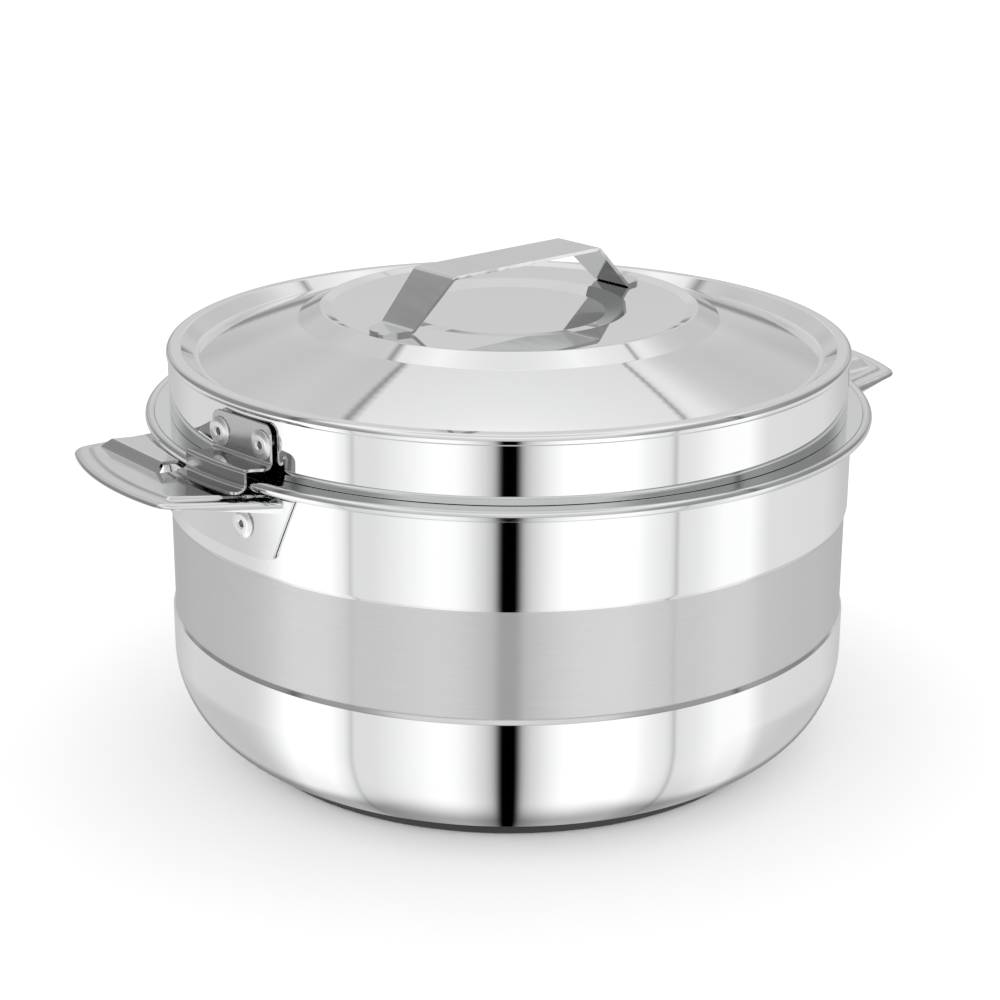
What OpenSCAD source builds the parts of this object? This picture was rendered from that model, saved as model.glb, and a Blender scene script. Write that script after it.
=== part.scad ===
// Insulated chapati casserole with a lift-off lid that twists to lock.
// Origin at the centre of the foot, +Z up, body handles along X, millimetres.

/* [Body] */
// outer diameter of the polished wall
wall_d = 242.4; // [236:0.2:260]
// how far the foot is set in from the wall
foot_inset = 24.6; // [18:0.1:30]
// radius of the rounded lower corner
corner_r = 35; // [28:1:42]
// height of the shell's underside above the floor
shell_z = 3; // [2.6:0.1:5]
// thickness of the outer sheet
shell_t = 0.8; // [0.6:0.1:1.2]
// depth of the satin band's upper edge below the rim
band_drop = 36.7; // [33:0.1:46]
// height of the satin band
band_h = 38.8; // [20:0.1:44]
// how deep the satin band is pressed in
band_depth = 0.9; // [0.4:0.1:1.4]
// height of each sloping step of the band
band_step = 1.6; // [0.8:0.1:3]

/* [Rim] */
// height of the rim's flat top
rim_z = 126.2; // [120:0.1:140]
// how far the rolled rim stands out from the wall
rim_over = 6.9; // [5:0.1:12]
// height of the roll
roll_h = 3.6; // [3.2:0.1:5]
// how far the roll stands above the flat top
roll_rise = 0.4; // [0:0.1:0.6]

/* [Pan] */
// width of the jacket between the wall and the pan
jacket_w = 13.2; // [11:0.1:20]
// thickness of the pan's sheet
pan_t = 0.8; // [0.6:0.1:1.2]
// height of the pan's underside
pan_z = 16; // [12:0.5:26]
// radius of the pan's lower corner
pan_corner_r = 18; // [10:1:30]
// radius where the pan turns out into the rim
mouth_r = 2.5; // [1.5:0.5:4]

/* [Base] */
// height of the dark base ring's visible strip
ring_h = 2.3; // [1.6:0.1:2.5]
// width of the base ring
ring_w = 20.6; // [12:0.1:30]
// depth of the groove between the ring and the wall
ring_groove = 1.2; // [0.6:0.1:2]
// width of the shell's turned-in bottom
turn_in_w = 14.6; // [8:0.1:20]
// thickness of the base plate
base_t = 0.8; // [0.6:0.1:1.5]
// how far the base plate laps over the turned-in bottom
base_lap = 8; // [3:0.1:9]
// diameter of the plug's flange
plug_flange_d = 20; // [17:0.5:30]
// thickness of the plug's flange
plug_flange_t = 1.2; // [0.8:0.1:1.6]
// diameter of the plug's stem
plug_d = 13.6; // [8:0.2:16]
// length of the plug's stem
plug_l = 6; // [3:0.5:10]

/* [Body handle] */
// thickness of the handle's sheet
handle_t = 1.2; // [0.8:0.1:1.5]
// half angle of the mounting plate at its top
plate_top_a = 24; // [21:0.5:26]
// half angle of the mounting plate at its bottom
plate_low_a = 19.5; // [17:0.5:20.5]
// height of the mounting plate
plate_h = 22.3; // [19:0.1:25]
// size of the mounting plate's lower corners
plate_corner = 2.5; // [1:0.5:5]
// depth of the wing's top at the wall below the rim
wing_drop = 7.9; // [7:0.1:10]
// reach of the wing beyond the rim
wing_out = 28.7; // [24:0.1:36]
// half width of the wing where its sides meet the wall
wing_root_w = 46.5; // [42:0.5:48]
// length of the wing's straight sides, from the mounting plate
wing_flank_l = 25; // [20:0.5:28]
// half width of the wing near its outer corners
wing_tip_w = 37.2; // [33:0.1:38.5]
// radius of the wing's outer edge
wing_edge_r = 103; // [70:1:150]
// radius of the wing's outer corners
wing_corner_r = 9; // [7.5:0.5:12]
// upward slope of the wing in degrees
wing_tilt = 3.7; // [0:0.1:5]
// depth of the turned-down side edges at the wall
edge_drop = 3.4; // [1.5:0.1:4]
// width of the flat lip round the raised panel
lip_w = 5.2; // [4:0.1:6]
// height of the raised panel above the lip
panel_h = 1; // [0.5:0.1:1.2]
// depth of the handle rivets below the wing's top
handle_rivet_drop = 11.8; // [9:0.1:14]
// angle of the handle rivets from the handle's middle
handle_rivet_a = 13.5; // [8:0.5:14]

/* [Lock] */
// clear height under the louver's roof above the wing's lip
roof_h = 3.5; // [3.3:0.1:5]
// gap between the rim and the louver's roof
roof_gap = 3.3; // [2.9:0.1:5]
// width of the louver at its mouth, its slope included
louver_w = 8; // [7.5:0.1:11]
// width of the louver's sloping outer side
louver_slope = 2.4; // [1.5:0.1:3]
// place of the louver's open mouth from the handle's middle
mouth_y = 6; // [3:0.5:6.5]
// place of the louver's closed end from the handle's middle
closed_y = -25; // [-27:0.5:-24.5]
// skew of the louver's outer side in degrees
louver_skew = 7; // [0:0.5:8]
// width of the slit between the rim and the louver
slit_w = 2.4; // [1.5:0.1:2.5]
// diameter of the relief hole at the slit's end
relief_d = 4; // [2:0.5:5]
// length of the ramp at the closed end
ramp_l = 5; // [3:0.5:6]
// angle of the lid past the handles when it is unlocked
unlocked_a = 12.5; // [12:0.5:14]

/* [Lid] */
// how far the lid's skirt is set in from the wall
skirt_set = 1.6; // [1:0.1:4]
// thickness of the lid's sheet
lid_t = 0.8; // [0.6:0.1:1.2]
// gap between the rim's flat top and the skirt
skirt_gap = 0.3; // [0.2:0.1:0.8]
// height of the skirt up to the shoulder bead
skirt_h = 15.7; // [14.5:0.1:18]
// how far the shoulder bead stands out
bead_out = 0.5; // [0.2:0.1:0.8]
// height of the shoulder bead
bead_h = 4; // [3:0.1:5]
// width of the lid's edge, from the skirt to the gutter
gutter_w = 9.9; // [8:0.1:12]
// depth of the gutter below the shoulder
gutter_depth = 4.5; // [2:0.1:5]
// width of the cone
cone_w = 35.7; // [30:0.1:42]
// height of the cone
cone_h = 12.4; // [8:0.1:16]
// width of the flat shoulder inside the bead
shoulder_w = 3; // [1:0.1:4]
// width of the crown's outer slope
crest_w = 8; // [6:0.1:10]
// height of the crest above the cone's upper edge
crest_h = 4.1; // [3:0.1:6]
// width of the crown's inner slope
crest_in = 3.5; // [2:0.1:5]
// depth of the ledge below the crest
ledge_depth = 1.2; // [0.6:0.1:2]
// width of the ledge round the middle dish
ledge_w = 20.5; // [15:0.1:30]
// width of the dish's sloping side
dish_slope = 8; // [4:0.5:12]
// depth of the dish below the ledge
dish_depth = 1.4; // [0.6:0.1:2.5]
// clearance of the plug in the pan's mouth
spigot_gap = 0.9; // [0.5:0.1:3]
// how far the plug reaches below the rim's flat top
spigot_depth = 7; // [4:0.5:12]
// gap between the hem under the skirt and the seal ring
hem_gap = 0.6; // [0.3:0.1:1]
// radius of the plug's lower corner
spigot_corner_r = 4; // [2:0.5:6]
// width of the seal ring
gasket_w = 3.95; // [3:0.05:4.4]
// how far the seal ring lies outside the pan's mouth
gasket_set = 0.75; // [0.2:0.05:1]

/* [Lid handle] */
// thickness of the strap
strap_t = 1.2; // [1:0.1:2]
// width of the strap's top
strap_w = 21; // [16:0.5:26]
// width of the strap's legs at their feet
strap_foot_w = 16.6; // [12:0.2:20]
// length of the strap's flat top
strap_top_l = 68.8; // [56:0.2:80]
// gap between the strap's feet and the ledge's edge
strap_edge = 1.2; // [0.6:0.1:4]
// radius of the strap's bends, on their hollow side
strap_bend_r = 2; // [1:0.5:3]
// height of the strap's top above the ledge
strap_h = 17.6; // [14:0.1:26]
// length of each foot
foot_l = 10; // [6:0.5:11.2]
// turn of the strap against the latches
strap_turn = -2.5; // [-10:0.5:10]

/* [Latch] */
// thickness of the latch's sheet
latch_t = 1.2; // [0.8:0.1:1.2]
// width of the latch plate
latch_w = 29; // [27:0.5:34]
// depth of the latch plate's top below the shoulder bead
latch_set = 0.7; // [0.3:0.1:2]
// radius of the latch plate's upper corners
latch_corner_r = 3.5; // [2:0.5:5]
// thickness of the tongue
tongue_t = 0.9; // [0.7:0.1:1]
// gap between the rim's roll and the tongue above it
tongue_gap = 0.5; // [0.4:0.1:0.8]
// width of the tongue's straight part in front of the plate
tongue_root_l = 3; // [1:0.5:5]
// gap between the rim's roll and the tongue's drop
drop_gap = 0.8; // [0.6:0.1:1]
// height of the lip's underside above the wing at the wall
lip_rise = 2.6; // [2.4:0.1:2.9]
// reach of the lip under the louver
lip_reach = 5.6; // [4.5:0.1:6.2]
// angle the tongue reaches towards the louver
lip_lead_a = 8.6; // [7.5:0.1:8.8]
// angle the tongue reaches the other way
lip_trail_a = 5.2; // [3:0.1:6.4]
// spacing of the latch rivets
latch_rivet_gap = 21; // [17:0.5:22]
// height of the latch rivets above the skirt's foot
latch_rivet_h = 8; // [7:0.1:9]

/* [Rivets] */
// diameter of a rivet's flange
flange_d = 9.8; // [7:0.1:10]
// thickness of a rivet's flange
flange_t = 1.3; // [0.8:0.1:2]
// diameter of a rivet's shank
shank_d = 4; // [3.2:0.1:4.8]
// diameter of the set head inside
bulb_d = 6.2; // [5.4:0.1:7]
// length of the set head inside
bulb_l = 3; // [2:0.1:3.5]
// diameter of a rivet's pin
pin_d = 2.2; // [1.6:0.1:2.4]
// diameter of the pin's head
pin_head_d = 3.6; // [3:0.1:4.4]
// length of the pin's head
pin_head_l = 1.4; // [1:0.1:2]
// how deep the pin's end lies below the flange's face
pin_recess = 0.6; // [0.3:0.1:1]
// thickness of the backing strips
backing_t = 1; // [0.8:0.1:1.4]
// height of the handles' backing strips
backing_h = 12; // [9:0.5:13]
// gap under the latches' backing strips
bar_gap = 0.4; // [0.3:0.1:2]
// how far the handles' backing strips reach past their rivets, in degrees
backing_end_a = 3; // [2:0.5:4]

/* [Hidden] */
$fn = 96;
// clearance between neighbouring curved faces
gap = 0.3;
// clearance of a shank in its hole, on the radius
hole_gap = 0.1;
// clearance of a pin in its rivet, on the radius
bore_gap = 0.1;
// overlap that makes cuts clean
eps = 0.5;
// steps of the drawn arcs
arc_steps = 14;
// larger than any piece, for cutting blocks
far = 200;

wall_r = wall_d / 2;
foot_r = wall_r - foot_inset;
wall_in = wall_r - shell_t;
corner_x = wall_r - corner_r;
corner_z = shell_z + sqrt(pow(corner_r, 2) - pow(foot_r - corner_x, 2));
band_z = rim_z - band_drop - band_h;
rim_r = wall_r + rim_over;
ring_in_r = foot_r - ring_w;
shell_in_r = foot_r - turn_in_w;
base_r = shell_in_r + base_lap;
roll_r = roll_h / 2;
roll_x = rim_r - roll_r;
roll_z = rim_z + roll_rise - roll_r;
flange_z = roll_z - shell_t / 2;
pan_r = wall_r - jacket_w;
pan_flat_r = pan_r - pan_corner_r;
base_z = shell_z + shell_t;
fill_low_z = base_z + base_t;
fill_top_z = rim_z - pan_t - mouth_r - gap;
plate_r = wall_r + gap;
plate_out = plate_r + handle_t;
handle_back_r = wall_in - hole_gap;
backing_a = handle_rivet_a + backing_end_a;
backing_cut_a = backing_a + asin(gap / handle_back_r);

wing_z = rim_z - wing_drop;
plate_z = wing_z - plate_h;
handle_rivet_z = wing_z - handle_rivet_drop;
wing_reach = rim_r + wing_out;
wing_corner_x = plate_r + wing_flank_l;
roof_r = rim_r + roof_gap;
louver_x = roof_r + louver_w;
side_slope = (wing_root_w - wing_tip_w) / (wing_corner_x - sqrt(pow(plate_r, 2) - pow(wing_root_w, 2)));
side_a = atan(side_slope);
roof_z = roof_h + handle_t;

hem_z = rim_z + skirt_gap;
seat_z = hem_z + lid_t;
skirt_r = wall_r - skirt_set;
skirt_in = skirt_r - lid_t;
shoulder_z = hem_z + skirt_h;
top_z = shoulder_z + bead_h;
bead_r = skirt_r + bead_out;
gutter_r = skirt_r - gutter_w;
gutter_z = top_z - gutter_depth;
cone_top_r = gutter_r - cone_w;
cone_top_z = gutter_z + cone_h;
crest_r = cone_top_r - crest_w;
crest_z = cone_top_z + crest_h;
ledge_r = crest_r - crest_in;
ledge_z = crest_z - ledge_depth;
dish_r = ledge_r - ledge_w;
dish_z = ledge_z - dish_depth;
spigot_r = pan_r - pan_t - spigot_gap;
gasket_in_r = pan_r + mouth_r + gasket_set;
gasket_out_r = gasket_in_r + gasket_w;
hem_in_r = gasket_out_r + hem_gap;
floor_z = rim_z - spigot_depth;

latch_x = skirt_r + hole_gap;
latch_out = latch_x + latch_t;
tongue_z = rim_z + roll_rise + tongue_gap;
drop_r = rim_r + drop_gap;
lip_z = wing_z + lip_rise;
lip_r = drop_r + lip_reach;
latch_rivet_z = hem_z + latch_rivet_h;
latch_bar_w = latch_rivet_gap + bulb_d + 4 * gap;
latch_bar_h = 2 * (latch_rivet_z - seat_z - lid_t - bar_gap);
latch_bar_x = sqrt(pow(skirt_in, 2) - pow(latch_bar_w / 2, 2)) - hole_gap;
fill_side_r = latch_bar_x - backing_t - bulb_l - pin_head_l - gap;

foot_end = ledge_r - strap_edge;
strap_low_x = foot_end - foot_l;
strap_z = ledge_z + strap_h;
strap_low_z = ledge_z + strap_t;
leg_a = atan2(strap_z - strap_low_z, strap_low_x - strap_top_l / 2);
foot_r_end = strap_foot_w * 0.44;

function arc(c, r, from, to) =
    [for (i = [0:arc_steps]) let (a = from + (to - from) * i / arc_steps) c + r * [cos(a), sin(a)]];

function reversed(list) = [for (i = [len(list) - 1:-1:0]) list[i]];

// the wall's profile moved in by t, from the height low up to the band's upper step
function wall_line(t, low) = concat(
    arc([corner_x, corner_z], corner_r - t, asin((low - corner_z) / (corner_r - t)), 0),
    [[wall_r - t, band_z],
     [wall_r - band_depth - t, band_z + band_step],
     [wall_r - band_depth - t, band_z + band_h - band_step],
     [wall_r - t, band_z + band_h]]);

// the pan's profile moved out by t, from its flat bottom up its wall
function pan_line(t) = arc([pan_flat_r, pan_z + pan_corner_r], pan_corner_r + t, -90, 0);

// the lid's profile moved in by t at the skirt and down by t at the top
function lid_top_line(t) = [
    [gutter_r, gutter_z - t],
    [cone_top_r, cone_top_z - t],
    [crest_r, crest_z - t],
    [ledge_r, ledge_z - t],
    [dish_r, ledge_z - t],
    [dish_r - dish_slope, dish_z - t],
    [0, dish_z - t]];

function lid_line(t) = concat(
    arc([bead_r - bead_h / 2, top_z - bead_h / 2], bead_h / 2 - t,
        -acos((bead_h / 2 - bead_out - t) / (bead_h / 2 - t)), 90),
    [[bead_r - bead_h / 2 - shoulder_w, top_z - t]],
    lid_top_line(t));

// a cylinder that points outwards along X
module across(d, from, to) {
    translate([from, 0, 0])
        rotate([0, 90, 0])
            cylinder(d = d, h = to - from);
}

// a ring between two radii and two heights
module ring(inner, outer, low, high) {
    translate([0, 0, low])
        difference() {
            cylinder(r = outer, h = high - low);
            translate([0, 0, -eps])
                cylinder(r = inner, h = high - low + 2 * eps);
        }
}

// keeps what lies between two angles, both well under 90 degrees
module between(low_a, high_a) {
    intersection() {
        children();
        rotate([0, 0, low_a])
            translate([0, 0, -far])
                cube([far, far, 2 * far]);
        rotate([0, 0, high_a])
            translate([0, -far, -far])
                cube([far, far, 2 * far]);
    }
}

// places its child at the rivets of the right body handle
module at_handle_rivets() {
    for (a = [-handle_rivet_a, handle_rivet_a])
        rotate([0, 0, a])
            translate([0, 0, handle_rivet_z])
                children();
}

// places its child at both handles or both latches
module both_sides(turn = 0) {
    for (side = [0, 180])
        rotate([0, 0, turn + side])
            children();
}

// places its child at the rivets of the right latch
module at_latch_rivets() {
    for (y = [-latch_rivet_gap / 2, latch_rivet_gap / 2])
        translate([0, y, latch_rivet_z])
            children();
}

// a blind rivet along X: its flange lies on face, its set head on back
module rivet(face, back) {
    rotate([0, 90, 0])
        rotate_extrude()
            polygon([
                [pin_d / 2 + bore_gap, back - bulb_l],
                [bulb_d / 2, back - bulb_l],
                [bulb_d / 2, back],
                [shank_d / 2, back],
                [shank_d / 2, face],
                [flange_d / 2, face],
                [flange_d / 2, face + flange_t / 2],
                [flange_d / 2 - flange_t / 2, face + flange_t],
                [pin_d / 2 + bore_gap, face + flange_t]]);
}

// the pin of a blind rivet, its head behind the set head
module rivet_pin(face, back) {
    across(pin_d, back - bulb_l - pin_head_l, face + flange_t - pin_recess);
    across(pin_head_d, back - bulb_l - pin_head_l, back - bulb_l);
}

module outer_shell() {
    color("silver")
        difference() {
            rotate_extrude()
                polygon(concat(
                    [[shell_in_r, shell_z]],
                    wall_line(0, shell_z),
                    [[wall_r, flange_z],
                     [roll_x, flange_z],
                     [roll_x, flange_z + shell_t],
                     [wall_in, flange_z + shell_t]],
                    reversed(wall_line(shell_t, base_z)),
                    [[shell_in_r, base_z]]));
            both_sides()
                at_handle_rivets()
                    across(shank_d + 2 * hole_gap, wall_in - eps, wall_r + eps);
        }
}

module inner_pan() {
    color("gainsboro")
        rotate_extrude() {
            polygon(concat(
                [[0, pan_z]],
                pan_line(0),
                arc([pan_r + mouth_r, rim_z - pan_t - mouth_r], mouth_r, 180, 90),
                [[roll_x - pan_t, rim_z - pan_t],
                 [roll_x - pan_t, rim_z]],
                arc([pan_r + mouth_r, rim_z - pan_t - mouth_r], mouth_r + pan_t, 90, 180),
                reversed(pan_line(-pan_t)),
                [[0, pan_z + pan_t]]));
            difference() {
                translate([roll_x, roll_z])
                    circle(r = roll_r);
                translate([roll_x, roll_z])
                    circle(r = roll_r - pan_t);
                translate([roll_x - 2 * roll_r, flange_z - gap])
                    square([2 * roll_r, rim_z - pan_t - flange_z + gap]);
            }
        }
}

module pot_insulation() {
    color("khaki")
        difference() {
            rotate_extrude()
                polygon(concat(
                    [[0, fill_low_z]],
                    wall_line(shell_t + gap, fill_low_z),
                    [[wall_in - gap, fill_top_z],
                     [pan_r + gap, fill_top_z]],
                    reversed(pan_line(gap)),
                    [[pan_flat_r - pan_t, pan_z - gap],
                     [pan_flat_r - pan_t, pan_z],
                     [0, pan_z]]));
            translate([0, 0, fill_low_z - eps])
                cylinder(d = plug_d + 2 * gap, h = base_z + plug_l + gap - fill_low_z + eps);
            both_sides() {
                between(-backing_cut_a, backing_cut_a)
                    ring(handle_back_r - backing_t - gap, wall_r,
                         handle_rivet_z - backing_h / 2 - gap, handle_rivet_z + backing_h / 2 + gap);
                at_handle_rivets()
                    across(bulb_d + 2 * gap,
                           handle_back_r - backing_t - bulb_l - pin_head_l - 2 * gap, wall_r);
            }
        }
}

module base_plate() {
    color("lightgray")
        translate([0, 0, base_z])
            difference() {
                cylinder(r = base_r, h = base_t);
                translate([0, 0, -eps])
                    cylinder(d = plug_d + 2 * gap, h = base_t + 2 * eps);
            }
}

module base_ring() {
    color("dimgray")
        rotate_extrude()
            polygon([
                [ring_in_r, 0],
                [foot_r, 0],
                [foot_r, ring_h],
                [foot_r - ring_groove, ring_h],
                [foot_r - ring_groove, shell_z],
                [ring_in_r, shell_z]]);
}

module fill_plug() {
    color("black") {
        translate([0, 0, base_z - plug_flange_t])
            cylinder(d = plug_flange_d, h = plug_flange_t);
        translate([0, 0, base_z - plug_flange_t])
            cylinder(d = plug_d, h = plug_flange_t + plug_l);
    }
}

// the wing's outline moved in by m, in the handle's plan
module wing_outline(m) {
    side_n = [sin(side_a), cos(side_a)];
    side_d = [cos(side_a), -sin(side_a)];
    edge_c = [wing_reach - wing_edge_r, 0];
    from_c = [wing_corner_x, wing_tip_w] - wing_corner_r * side_n - edge_c;
    along = from_c * side_d;
    reach = sqrt(pow(along, 2) - from_c * from_c + pow(wing_edge_r - wing_corner_r, 2)) - along;
    corner_c = edge_c + from_c + reach * side_d;
    edge_a = atan2(corner_c[1], corner_c[0] - edge_c[0]);
    root = [wing_corner_x, wing_tip_w] - 2 * wing_flank_l * side_d - m * side_n;
    upper = concat(
        [root],
        arc(corner_c, wing_corner_r - m, 90 - side_a, edge_a),
        arc(edge_c, wing_edge_r - m, edge_a, 0));
    polygon(concat(upper, [for (p = reversed(upper)) [p[0], -p[1]]]));
}

// the louver's solid form, moved in by m
module louver_block(m, low, mouth) {
    intersection() {
        translate([louver_x, mouth_y, 0])
            rotate([0, 0, louver_skew])
                rotate([90, 0, 0])
                    translate([0, 0, -far / 2])
                        linear_extrude(height = far)
                            polygon([
                                [-m, panel_h],
                                [-m - louver_slope, roof_z - m],
                                [-far / 4, roof_z - m],
                                [-far / 4, low],
                                [-m, low]]);
        rotate([90, 0, 90])
            linear_extrude(height = far)
                polygon([
                    [mouth, low],
                    [mouth, roof_z - m],
                    [closed_y, roof_z - m],
                    [closed_y - ramp_l + m, panel_h],
                    [closed_y - ramp_l + m, low]]);
    }
}

// the stamped wing, level, its lip's top at height 0
module wing_sheet() {
    translate([0, 0, -handle_t])
        linear_extrude(height = handle_t)
            difference() {
                wing_outline(0);
                wing_outline(lip_w + handle_t);
            }
    difference() {
        translate([0, 0, panel_h - handle_t])
            linear_extrude(height = handle_t)
                wing_outline(lip_w);
        difference() {
            louver_block(handle_t, -far / 4, mouth_y);
            translate([0, 0, -far / 2])
                cylinder(r = roof_r - slit_w, h = far);
        }
        rotate([0, 0, -asin((ramp_l - closed_y) / roof_r)])
            translate([roof_r - slit_w / 2, 0, -far / 2])
                cylinder(d = relief_d, h = far);
    }
    difference() {
        louver_block(0, panel_h - handle_t, mouth_y);
        louver_block(handle_t, -far / 4, mouth_y + eps);
        translate([0, 0, -far / 2])
            cylinder(r = roof_r, h = far);
    }
    intersection() {
        translate([0, 0, -edge_drop])
            linear_extrude(height = edge_drop)
                difference() {
                    wing_outline(0);
                    wing_outline(handle_t);
                }
        rotate([90, 0, 0])
            translate([0, 0, -far / 2])
                linear_extrude(height = far)
                    polygon([
                        [0, 0],
                        [0, -edge_drop],
                        [wall_r, -edge_drop],
                        [wing_corner_x, -handle_t],
                        [wing_corner_x, 0]]);
    }
}

module mounting_plate() {
    low_w = plate_out * sin(plate_low_a);
    top_w = plate_out * sin(plate_top_a);
    intersection() {
        ring(plate_r, plate_out, plate_z, wing_z);
        rotate([90, 0, 90])
            linear_extrude(height = far)
                polygon([
                    [-top_w, wing_z],
                    [-low_w - plate_corner / 4, plate_z + plate_corner],
                    [-low_w + plate_corner, plate_z],
                    [low_w - plate_corner, plate_z],
                    [low_w + plate_corner / 4, plate_z + plate_corner],
                    [top_w, wing_z]]);
    }
}

module body_handle() {
    color("silver")
        difference() {
            union() {
                mounting_plate();
                difference() {
                    translate([plate_r, 0, wing_z])
                        rotate([0, -wing_tilt, 0])
                            translate([-plate_r, 0, 0])
                                wing_sheet();
                    cylinder(r = plate_r, h = far);
                }
            }
            at_handle_rivets()
                across(shank_d + 2 * hole_gap, wall_in, plate_out + eps);
        }
}

module left_handle() {
    rotate([0, 0, 180])
        body_handle();
}

module right_handle() {
    body_handle();
}

module handle_rivets() {
    color("whitesmoke")
        both_sides()
            at_handle_rivets()
                rivet(plate_out + hole_gap, handle_back_r - backing_t - hole_gap);
}

module handle_rivet_pins() {
    color("gray")
        both_sides()
            at_handle_rivets()
                rivet_pin(plate_out + hole_gap, handle_back_r - backing_t - hole_gap);
}

module handle_backing() {
    color("silver")
        both_sides()
            difference() {
                between(-backing_a, backing_a)
                    ring(handle_back_r - backing_t, handle_back_r,
                         handle_rivet_z - backing_h / 2, handle_rivet_z + backing_h / 2);
                at_handle_rivets()
                    across(shank_d + 2 * hole_gap, handle_back_r - 2 * backing_t - eps, wall_r);
            }
}

module lid_gasket() {
    color("white")
        ring(gasket_in_r, gasket_out_r, rim_z, seat_z);
}

module lid_outer_shell() {
    color("silver")
        difference() {
            rotate_extrude()
                polygon(concat(
                    [[hem_in_r, hem_z],
                     [skirt_r, hem_z]],
                    lid_line(0),
                    reversed(lid_line(lid_t)),
                    [[skirt_in, seat_z],
                     [hem_in_r, seat_z]]));
            both_sides(unlocked_a)
                at_latch_rivets()
                    across(shank_d + 2 * hole_gap, skirt_in - 2 * lid_t, skirt_r + eps);
        }
}

module lid_inner_shell() {
    corner_c = [spigot_r - spigot_corner_r, floor_z + spigot_corner_r];
    color("gainsboro")
        rotate_extrude()
            polygon(concat(
                [[0, floor_z]],
                arc(corner_c, spigot_corner_r, -90, 0),
                [[spigot_r, seat_z],
                 [skirt_in - gap, seat_z],
                 [skirt_in - gap, seat_z + lid_t],
                 [spigot_r - lid_t, seat_z + lid_t]],
                arc(corner_c, spigot_corner_r - lid_t, 0, -90),
                [[0, floor_z + lid_t]]));
}

module lid_insulation() {
    color("khaki")
        rotate_extrude()
            polygon(concat(
                [[0, floor_z + lid_t],
                 [spigot_r - spigot_corner_r, floor_z + lid_t],
                 [spigot_r - lid_t - gap, floor_z + spigot_corner_r],
                 [spigot_r - lid_t - gap, seat_z + lid_t + gap],
                 [fill_side_r, seat_z + lid_t + gap],
                 [fill_side_r, gutter_z - lid_t - gap]],
                lid_top_line(lid_t + gap)));
}

// the strap seen from its side
module strap_profile() {
    top_c = [strap_top_l / 2 - (strap_bend_r + strap_t) * tan(leg_a / 2),
             strap_z - strap_t - strap_bend_r];
    low_c = [strap_low_x + strap_bend_r * tan(leg_a / 2), strap_low_z + strap_bend_r];
    upper = concat(
        arc(top_c, strap_bend_r + strap_t, 90, 90 - leg_a),
        arc(low_c, strap_bend_r, 270 - leg_a, 270),
        [[foot_end + eps, strap_low_z]]);
    lower = concat(
        [[foot_end + eps, ledge_z]],
        arc(low_c, strap_bend_r + strap_t, 270, 270 - leg_a),
        arc(top_c, strap_bend_r, 90 - leg_a, 90));
    polygon(concat(upper, lower, [for (p = reversed(lower)) [-p[0], p[1]]],
                   [for (p = reversed(upper)) [-p[0], p[1]]]));
}

// the strap seen from above, with rounded feet
module strap_plan() {
    right = concat(
        [[strap_top_l / 2 - strap_t, strap_w / 2],
         [strap_low_x, strap_foot_w / 2]],
        arc([foot_end - foot_r_end, 0], foot_r_end, 90, -90),
        [[strap_low_x, -strap_foot_w / 2],
         [strap_top_l / 2 - strap_t, -strap_w / 2]]);
    polygon(concat(right, [for (p = right) -p]));
}

module lid_handle() {
    color("silver")
        rotate([0, 0, unlocked_a + strap_turn])
            intersection() {
                rotate([90, 0, 0])
                    translate([0, 0, -strap_w])
                        linear_extrude(height = 2 * strap_w)
                            strap_profile();
                linear_extrude(height = far)
                    strap_plan();
            }
}

module latch() {
    top = shoulder_z - latch_set;
    lead = drop_r * sin(lip_lead_a);
    trail = drop_r * sin(lip_trail_a);
    half = latch_w / 2;
    color("darkgray") {
        difference() {
            translate([latch_x, 0, 0])
                rotate([90, 0, 90])
                    linear_extrude(height = latch_t) {
                        translate([-half, tongue_z])
                            square([latch_w, top - latch_corner_r - tongue_z]);
                        translate([-half + latch_corner_r, tongue_z])
                            square([latch_w - 2 * latch_corner_r, top - tongue_z]);
                        for (side = [-1, 1])
                            translate([side * (half - latch_corner_r), top - latch_corner_r])
                                circle(r = latch_corner_r);
                    }
            at_latch_rivets()
                across(shank_d + 2 * hole_gap, skirt_in, latch_out + eps);
        }
        intersection() {
            translate([0, 0, tongue_z])
                cylinder(r = drop_r + tongue_t, h = tongue_t);
            linear_extrude(height = far)
                polygon([
                    [latch_x, -half],
                    [latch_out + tongue_root_l, -half],
                    [drop_r, -lead],
                    [far, -lead],
                    [far, trail],
                    [drop_r, trail],
                    [latch_out + tongue_root_l, half],
                    [latch_x, half]]);
        }
        between(-lip_lead_a, lip_trail_a) {
            ring(drop_r, drop_r + tongue_t, lip_z, tongue_z + tongue_t);
            ring(drop_r, lip_r, lip_z, lip_z + tongue_t);
        }
    }
}

module left_latch() {
    rotate([0, 0, unlocked_a + 180])
        latch();
}

module right_latch() {
    rotate([0, 0, unlocked_a])
        latch();
}

module latch_rivets() {
    color("whitesmoke")
        both_sides(unlocked_a)
            at_latch_rivets()
                rivet(latch_out, latch_bar_x - backing_t);
}

module latch_rivet_pins() {
    color("gray")
        both_sides(unlocked_a)
            at_latch_rivets()
                rivet_pin(latch_out, latch_bar_x - backing_t);
}

module latch_backing() {
    color("silver")
        both_sides(unlocked_a)
            difference() {
                translate([latch_bar_x - backing_t, -latch_bar_w / 2, latch_rivet_z - latch_bar_h / 2])
                    cube([backing_t, latch_bar_w, latch_bar_h]);
                at_latch_rivets()
                    across(shank_d + 2 * hole_gap, latch_bar_x - backing_t - eps, skirt_r);
            }
}

outer_shell();
inner_pan();
pot_insulation();
base_plate();
base_ring();
fill_plug();
left_handle();
right_handle();
handle_rivets();
handle_rivet_pins();
handle_backing();
lid_gasket();
lid_outer_shell();
lid_inner_shell();
lid_insulation();
lid_handle();
left_latch();
right_latch();
latch_rivets();
latch_rivet_pins();
latch_backing();
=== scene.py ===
import math

import bmesh
import bpy
from mathutils import Matrix, Vector, geometry


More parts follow.
